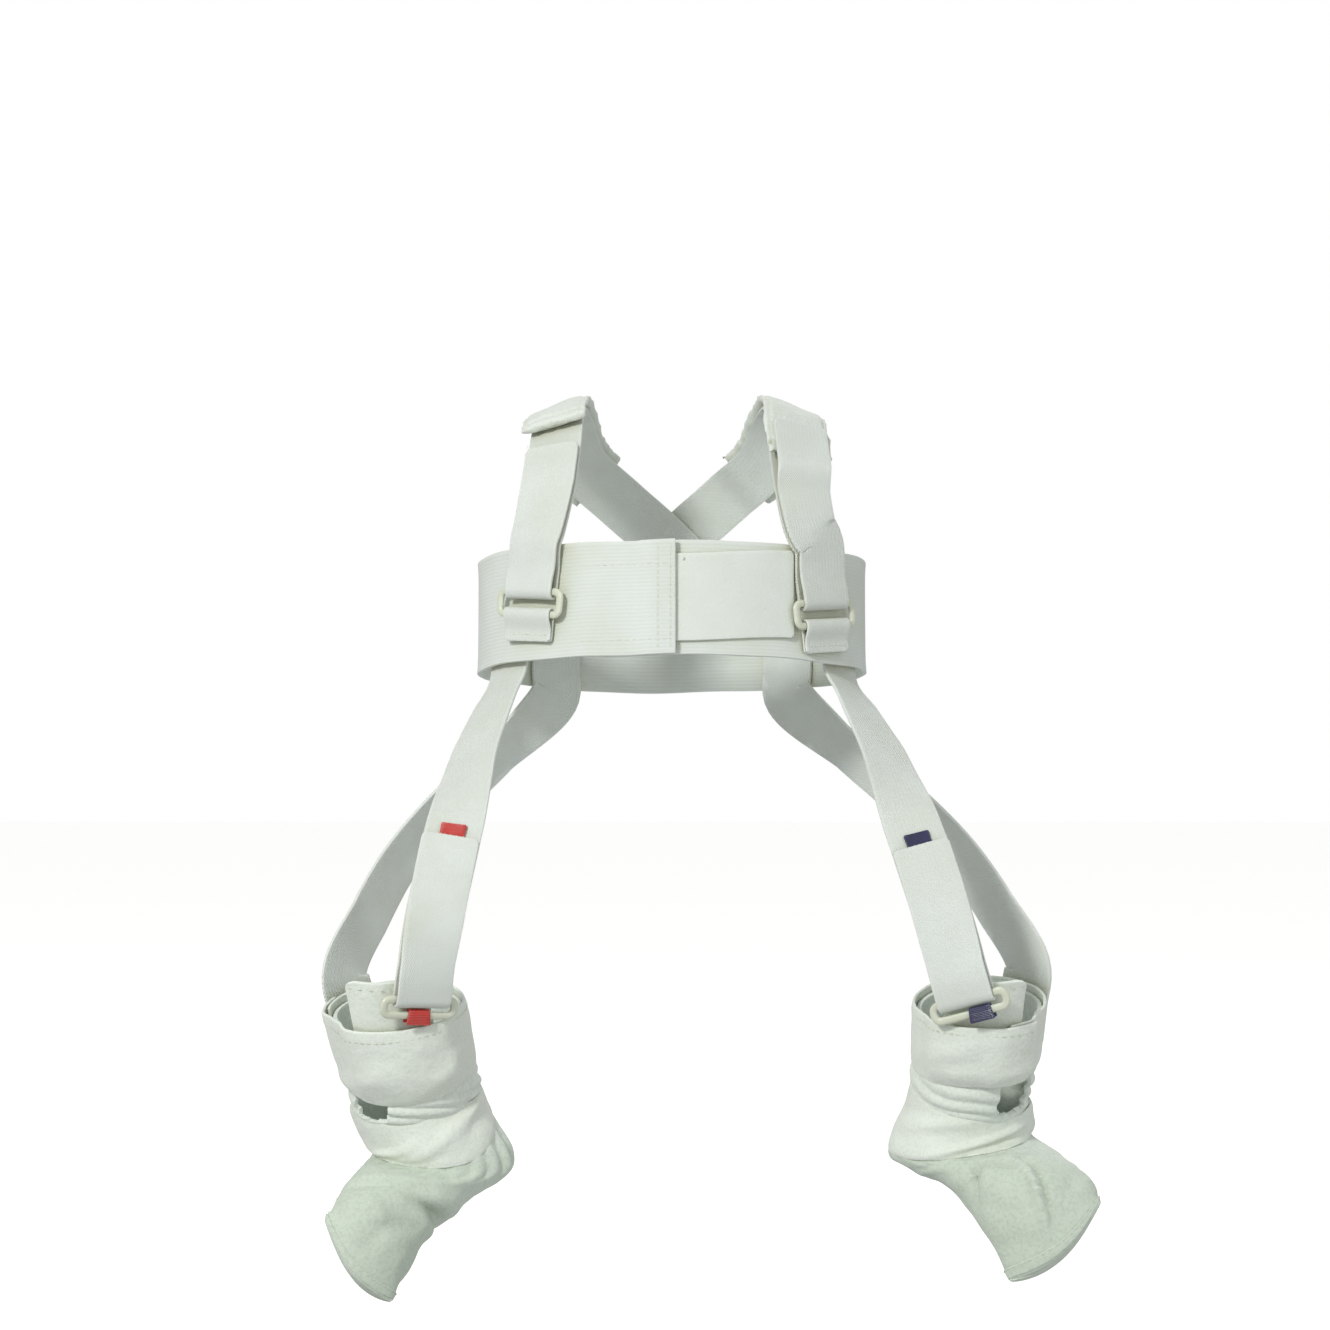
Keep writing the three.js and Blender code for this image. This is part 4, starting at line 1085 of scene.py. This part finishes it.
def shoulderRun(side):
    ringAngle = degrees(asin(side.ringAcross / halfBreadth))
    sign = side.sign

    def onChest(angle, height, extra=0):
        return chestPoint(sign * angle, height, bandThickness + extra), chestNormal(sign * angle)

    def faceOut(p):
        turnedAhead = blend(0.95, 0.45, ease(bandHeight / 2, shoulderHeight * 0.72, p.z))
        sideways = min(0.8, turnedAhead + 0.35 * ease(-halfDepth / 2, 0, p.y))
        return Vector((
            sideways * p.x / halfBreadth ** 2,
            p.y / halfDepth ** 2,
            p.z ** 3 / (0.92 * shoulderHeight) ** 4,
        )).normalized()

    stations = [
        onChest(ringAngle, side.ringUp),
        onChest(ringAngle - 0.35 * side.edgeTurn, side.ringUp + 9 * mm),
        onChest(ringAngle - side.edgeTurn, bandHeight / 2 + 1 * mm, 2.2 * mm),
    ]
    for across, back, up in shoulderRows:
        strapOut = side.strapOut * (1 - ease(0.2, 0.7, back))
        point = Vector((
            sign * (across * halfBreadth + strapOut), back * halfDepth, up * shoulderHeight,
        ))
        stations.append((point, faceOut(point)))
    stations.append(onChest(-168, bandHeight / 2 - 3 * mm, 0.8 * mm))
    stations.append(onChest(-159, -bandHeight / 5, 0.2 * mm))
    return makeRun(stations)


# Pads: a closed form that swells under cloth pressure, then gets its rolled front end and folds
def makePad(side, run, padTo, crossing):
    name, sign = side.name, side.sign
    padFrom = side.padFront
    padLift = restLift + webbingThickness / 2 + 2 * clearance + padThickness / 2
    rows, inset, lastFrame, swellLimit = 60, 1.2 * mm, 20, 1.1 * mm

    def place(u, v):
        i = round(v * rows)
        d = blend(padFrom + inset, padTo - inset, i / rows)
        spot = run.at(d)
        middle = spot.point + spot.normal * (padLift + crossing(d))
        c, s = cos(2 * pi * u), sin(2 * pi * u)
        x = abs(c) ** 0.55 * (1 if c > 0 else -1) * padWidth / 2
        z = abs(s) ** 0.75 * (1 if s > 0 else -1) * padThickness / 2
        point = middle + spot.across * (x * 0.97) + spot.normal * (z * 0.86)
        closing = min(i, rows - i)
        if closing < 2:
            height = (point - middle).dot(spot.normal)
            point -= spot.normal * (height * (1 - closing * 0.6))
        return point

    pad = gridPiece(f"shoulder_pad_cloth_{name}", 40, rows, place, (0.08, 0.15), weld=True)
    applyModifier(pad, "REMESH", mode="VOXEL", voxel_size=1.7 * mm)
    before = [v.co.copy() for v in pad.data.vertices]
    selectOnly(pad)
    cloth = pad.modifiers.new("cloth", "CLOTH")
    settings = cloth.settings
    settings.use_pressure = True
    settings.uniform_pressure_force = 4
    settings.effector_weights.gravity = 0
    settings.tension_stiffness = settings.compression_stiffness = 12
    settings.bending_stiffness = 0.3
    cloth.point_cache.frame_start, cloth.point_cache.frame_end = 1, lastFrame
    for number in range(1, lastFrame + 1):
        bpy.context.scene.frame_set(number)
    bpy.ops.object.modifier_apply(modifier=cloth.name)
    for vertex, old in zip(pad.data.vertices, before):
        move = vertex.co - old
        if move.length > swellLimit:
            vertex.co = old + move.normalized() * swellLimit
    bpy.context.scene.frame_set(1)
    applyModifier(pad, "SMOOTH", factor=0.5, iterations=3)
    applyModifier(pad, "SUBSURF", levels=1)
    stops = [(d, run.at(d)) for d in steps(padFrom, padTo, 3 * mm)]
    for vertex in pad.data.vertices:
        co = vertex.co
        d, spot = min(stops, key=lambda stop: (stop[1].point - co).length_squared)
        d += (co - spot.point).dot(spot.tangent)
        s = (co - spot.point).dot(spot.across) / (padWidth / 2)
        crease = noise.noise(Vector((d * 170, s * 1.6, sign * 4))) * 0.9 + noise.noise(co * 60) * 0.5
        fromEnd = d - padFrom + 1.5 * mm * noise.noise(Vector((s * 1.5, sign * 7, 0)))
        rolled = 1.1 * exp(-((fromEnd - 3.4 * mm) / (2.2 * mm)) ** 2)
        groove = 1.5 * exp(-((fromEnd - 7.6 * mm) / (1.3 * mm)) ** 2)
        outside = ease(0.2, 0.8, vertex.normal.dot(spot.normal))
        seam = 0.9 * exp(-((abs(s) - 0.8) / 0.05) ** 2) * ease(4 * mm, 9 * mm, fromEnd)
        vertex.co = co + vertex.normal * ((crease + (rolled - groove - seam) * outside) * 0.7 * mm)
    smooth(pad)
    dress(pad, "pad_cloth", node=f"shoulder_pad_{name}")


def straightRun(spot, drop, length, shift=Vector()):
    start = spot.point - spot.tangent * drop + shift
    return makeRun([(start - spot.tangent * (length * share), spot.normal) for share in (0, 0.5, 1)])


outerRest = restLift + webbingThickness + layerGap


def outerLift(d):
    return blend(outerRest, ringLift + foldRadius, 1 - ease(4 * mm, 20 * mm, d))


def makeShoulder(side):
    name, sign, padFrom = side.name, side.sign, side.padFront
    run = shoulderRun(side)
    end = run.length
    topAt = max(steps(0, end, 2 * mm), key=lambda d: run.at(d).point.z)
    crossAt = min(steps(topAt, end, 2 * mm), key=lambda d: abs(run.at(d).point.x))
    crossLift = webbingThickness + 6 * clearance if side.crossesOver else 0

    def crossing(d):
        return crossLift * (1 - ease(34 * mm, 50 * mm, abs(d - crossAt)))

    frames = foldedFrames(
        run, end, side.strapReturn, foldRadius, lambda d: restLift + crossing(d),
        lambda d: outerLift(d) + (padThickness + clearance) * ease(padFrom - 14 * mm, padFrom - 3 * mm, d),
        lambda d: chestCrown(45) / 2 * ease(4 * mm, 14 * mm, d) * (1 - ease(padFrom - 20 * mm, padFrom, d)),
    )
    makeStrap("shoulder_strap", name, frames, detail=strapWaver(sign * 3, 0.35 * mm), teeth=side.teeth)
    makeFrays(f"shoulder_frays_{name}", frames, 14, 2.2 * mm)
    places = sewnBox(run, end - 21 * mm, end - 3 * mm, restLift + webbingThickness / 2 + 0.12 * mm)
    sew(f"shoulder_stitches_{name}", places, "webbing")
    makePad(side, run, topAt + padBackLength, crossing)

    start = run.at(0)
    makeRing("shoulder_ring", name, ringHeight, start)
    keeperRun = straightRun(start, barSpan, keeperLength)
    radius = ringBarThickness / 2 + clearance + keeperThickness / 2
    rest = 2 * clearance + keeperThickness / 2
    keeperFrames = foldedFrames(
        keeperRun, keeperLength, keeperLength, radius,
        lambda d: blend(ringLift - radius, rest, ease(0, 6 * mm, d)),
        lambda d: blend(ringLift + radius, rest + keeperThickness + clearance, ease(0, 8 * mm, d)),
        lambda d: 0, 1 * mm,
    )
    makeStrap("ring_keeper", name, keeperFrames, thickness=keeperThickness, edge=0.3 * mm, held="folded")

    def keeperStitch(share):
        spot = keeperRun.at(keeperLength - 3 * mm)
        aside = blend(-0.88, 0.88, share) * webbingWidth / 2
        lift = rest + keeperThickness * 1.5 + clearance + 0.1 * mm
        return spot.point + spot.across * aside + spot.normal * lift, spot.normal

    sew(f"keeper_stitches_{name}", stitchLine(keeperStitch, 2.4 * mm), "webbing", 1.6, 0.42)


# A place on the band's inside for a leg strap
def innerSeat(side, angle, height, turn=0):
    point = chestPoint(side.sign * angle, height, -(clearance + webbingThickness))
    return point, chestNormal(side.sign * (angle - turn))


# Front leg strap from inside the band's lower edge, over the knee, to the ring on the shin tab
def makeFrontLeg(side, bootie):
    name, sign = side.name, side.sign
    rowLength = (bootie.point(1, 0, 0) - bootie.point(0, 0, 0)).length
    ringRow = 1 - (markerLoopLength + legBarSpan + 0.8 * mm) / rowLength
    tabFace = shinLift + shinTabThickness + 0.5 * mm
    tabPlace, tabNormal = bootie.spot(ringRow, side.ringTurn, tabFace)
    tabUp = (bootie.point(ringRow - 0.1, side.ringTurn, tabFace) - tabPlace).normalized()
    bandEdge = innerSeat(side, side.seatAngle, edgeBelow, 4)
    way = bandEdge[0] - tabPlace
    leave = tabUp.lerp(way.normalized(), side.kneeLean).normalized()
    stations = [(tabPlace, tabNormal), (tabPlace + leave * (14 * mm) + tabNormal * tabStandOff, tabNormal)]
    for (share, out, fore), (x, y, z) in reversed(list(zip(frontLegRows, kneeNormals))):
        point = tabPlace + way * (1 - share)
        point += Vector((sign * out * kneeBulge, -fore * kneeBulge, 0))
        stations.append((point, Vector((sign * x, y, z)).normalized()))
    stations += [bandEdge] + [innerSeat(side, side.seatAngle, height) for height in (edgeAbove, 0)]
    run = makeRun(stations)
    full = run.length
    crown = chestCrown(side.seatAngle)
    frames = foldedFrames(
        run, full, side.legReturn, foldRadius,
        lambda d: restLift * (1 - ease(full - 50 * mm, full - 30 * mm, d)), outerLift,
        lambda d: crown * ease(full - 45 * mm, full - 24 * mm, d),
    )
    strap = makeStrap("front_leg_strap", name, frames, detail=strapWaver(sign * 5, 0.3 * mm))
    makeFrays(f"leg_frays_{name}", frames, 9, 0.8 * mm)
    start = run.at(0)
    outwards = start.across * (1 if start.across.x * sign > 0 else -1)
    makeRing("leg_ring", name, legRingHeight, start, outwards * ringShift)

    # Markers: a patch under the free end and a loop round the ring's lower bar
    marker = {
        "kind": "ribbon", "look": side.ribbon, "width": markerWidth, "thickness": markerThickness,
        "edge": 0.25 * mm,
    }
    patchEnd = side.legReturn + markerShows
    patchLift = restLift + webbingThickness / 2 + clearance + markerThickness / 2
    patchSteps = steps(patchEnd - markerPatchLength, patchEnd, 0.8 * mm)
    makeStrap(
        "upper_marker", name, [strapFrame(run.at(d), patchLift, 1, 0) for d in patchSteps], held="laid",
        restsOn=strap.name, detail=lambda d, s: 0.15 * mm * s * s, cornerRound=0.5 * mm, waist=0.3 * mm,
        **marker,
    )
    loopRun = straightRun(start, legBarSpan, markerLoopLength, outwards * side.markerShift)
    radius = ringBarThickness / 2 + clearance + markerThickness / 2
    reach = markerLoopLength - 2 * clearance
    loopFrames = foldedFrames(
        loopRun, reach, reach, radius,
        lambda d: blend(ringLift - radius, clearance + 1.2 * mm, ease(0, markerLoopLength, d)),
        lambda d: ringLift + radius, lambda d: 0, 0.6 * mm,
    )
    makeStrap(
        "lower_marker", name, loopFrames, held="folded", restsOn=f"leg_ring_plastic_{name}",
        cornerRound=0.4 * mm, waist=0.9 * mm, **marker,
    )


# Back leg strap round the thigh to the calf strap's outer back
def makeBackLeg(side, bootie):
    name, sign, angle, turn = side.name, side.sign, 140, 138
    edge = innerSeat(side, angle, edgeBelow)
    face = 3 * clearance + 2 * wrapThickness + webbingThickness / 2
    target, *lower = [bootie.spot(row, turn, face) for row in (0.75, 1.3, 1.9)]
    way = target[0] - edge[0]
    stations = [innerSeat(side, angle, 0), innerSeat(side, angle, edgeAbove), edge]
    for share, out, fore in backLegRows:
        point = edge[0] + way * share + Vector((sign * out * thighBulge, -fore * thighBulge, 0))
        lean = Vector((sign * 0.5, 0.7, 0.5)).lerp(target[1], share ** 2)
        stations.append((point, lean.normalized()))
    run = makeRun(stations + [target] + lower)
    end, crown = run.length, chestCrown(angle)
    frames = [
        strapFrame(run.at(d), 0, 1, crown * (1 - ease(24 * mm, 45 * mm, d))) for d in steps(0, end, 2 * mm)
    ]

    def lengthwiseFold(distance, s):
        slack = sin(pi * min(max((distance - 50 * mm) / (110 * mm), 0), 1))
        return slack * (0.9 * mm * exp(-((s - 0.25) / 0.3) ** 2) - 0.6 * mm * s * s)

    makeStrap("back_leg_strap", name, frames, detail=lengthwiseFold)
    places = sewnBox(run, end - 21 * mm, end - 3 * mm, webbingThickness / 2 + 0.12 * mm)
    sew(f"back_leg_stitches_{name}", places, "webbing")


for side in sides:
    makeShoulder(side)
    bootie = makeBootie(side)
    makeShell(bootie, side)
    makeShinTab(bootie, side)
    makeWraps(bootie, side)
    print("bootie ready:", side.name)
    makeFrontLeg(side, bootie)
    makeBackLeg(side, bootie)
    print("side ready:", side.name)


def placeInScene(name, data, place, turn):
    thing = bpy.data.objects.new(name, data)
    thing.location = place
    thing.rotation_euler = turn
    bpy.context.scene.collection.objects.link(thing)
    return thing


# Camera as the photograph was taken: level, straight from the front
cameraData = bpy.data.cameras.new("camera")
cameraData.lens = 110.7
cameraData.sensor_width = 36
cameraPlace = (-3.1 * mm, -1862 * mm, -20.9 * mm)
bpy.context.scene.camera = placeInScene("camera", cameraData, cameraPlace, (radians(90), 0, 0))


def addLight(name, place, aim, size, power, hexColor):
    data = bpy.data.lights.new(name, "AREA")
    data.size = size
    data.energy = power
    data.color = linear(hexColor)[:3]
    placeInScene(name, data, place, (Vector(aim) - Vector(place)).to_track_quat("-Z", "Y").to_euler())


addLight("key", (-0.85, -1.4, 0.85), (0, -0.05, -0.08), 0.25, 20, "#fffefa")
addLight("fill", (0.9, -1.3, 0.1), (0, -0.05, -0.1), 0.8, 3.2, "#fbfffb")
addLight("back", (0.2, 1.1, 0.9), (0, 0, -0.05), 0.6, 5, "#ffffff")

world = bpy.data.worlds.new("world")
world.use_nodes = True
background = world.node_tree.nodes["Background"].inputs
background[0].default_value = linear("#ffffff")
background[1].default_value = 0.52
bpy.context.scene.world = world
bpy.context.scene.view_settings.view_transform = "Standard"


def floorLook(tree, place):
    return {
        "Base Color": mixColor(tree, noiseNode(tree, place, 40), "#f2f2f0", "#f6f6f4"), "Roughness": 0.9,
        "Emission Color": linear("#ffffff"), "Emission Strength": 0.5,
    }


def paperLook(tree, place):
    return {
        "Base Color": linear("#000000"), "Specular IOR Level": 0, "Emission Color": linear("#ffffff"),
        "Emission Strength": 1,
    }


# Pale floor just below the toes, and white paper all round that only the camera sees
bpy.ops.mesh.primitive_plane_add(size=11, location=(0, 0, cadBox[0][2] - 12 * mm))
floor = bpy.context.active_object
bpy.ops.mesh.primitive_uv_sphere_add(segments=48, ring_count=24, radius=6)
backdrop = bpy.context.active_object
for piece, name, material in (
    (floor, "floor", newMaterial("PaleFloor", floorLook)),
    (backdrop, "backdrop", newMaterial("WhitePaper", paperLook)),
):
    piece.name = name
    piece.data.materials.append(material)
    piece.visible_diffuse = False
    piece.visible_glossy = False
backdrop.visible_transmission = False
backdrop.visible_shadow = False
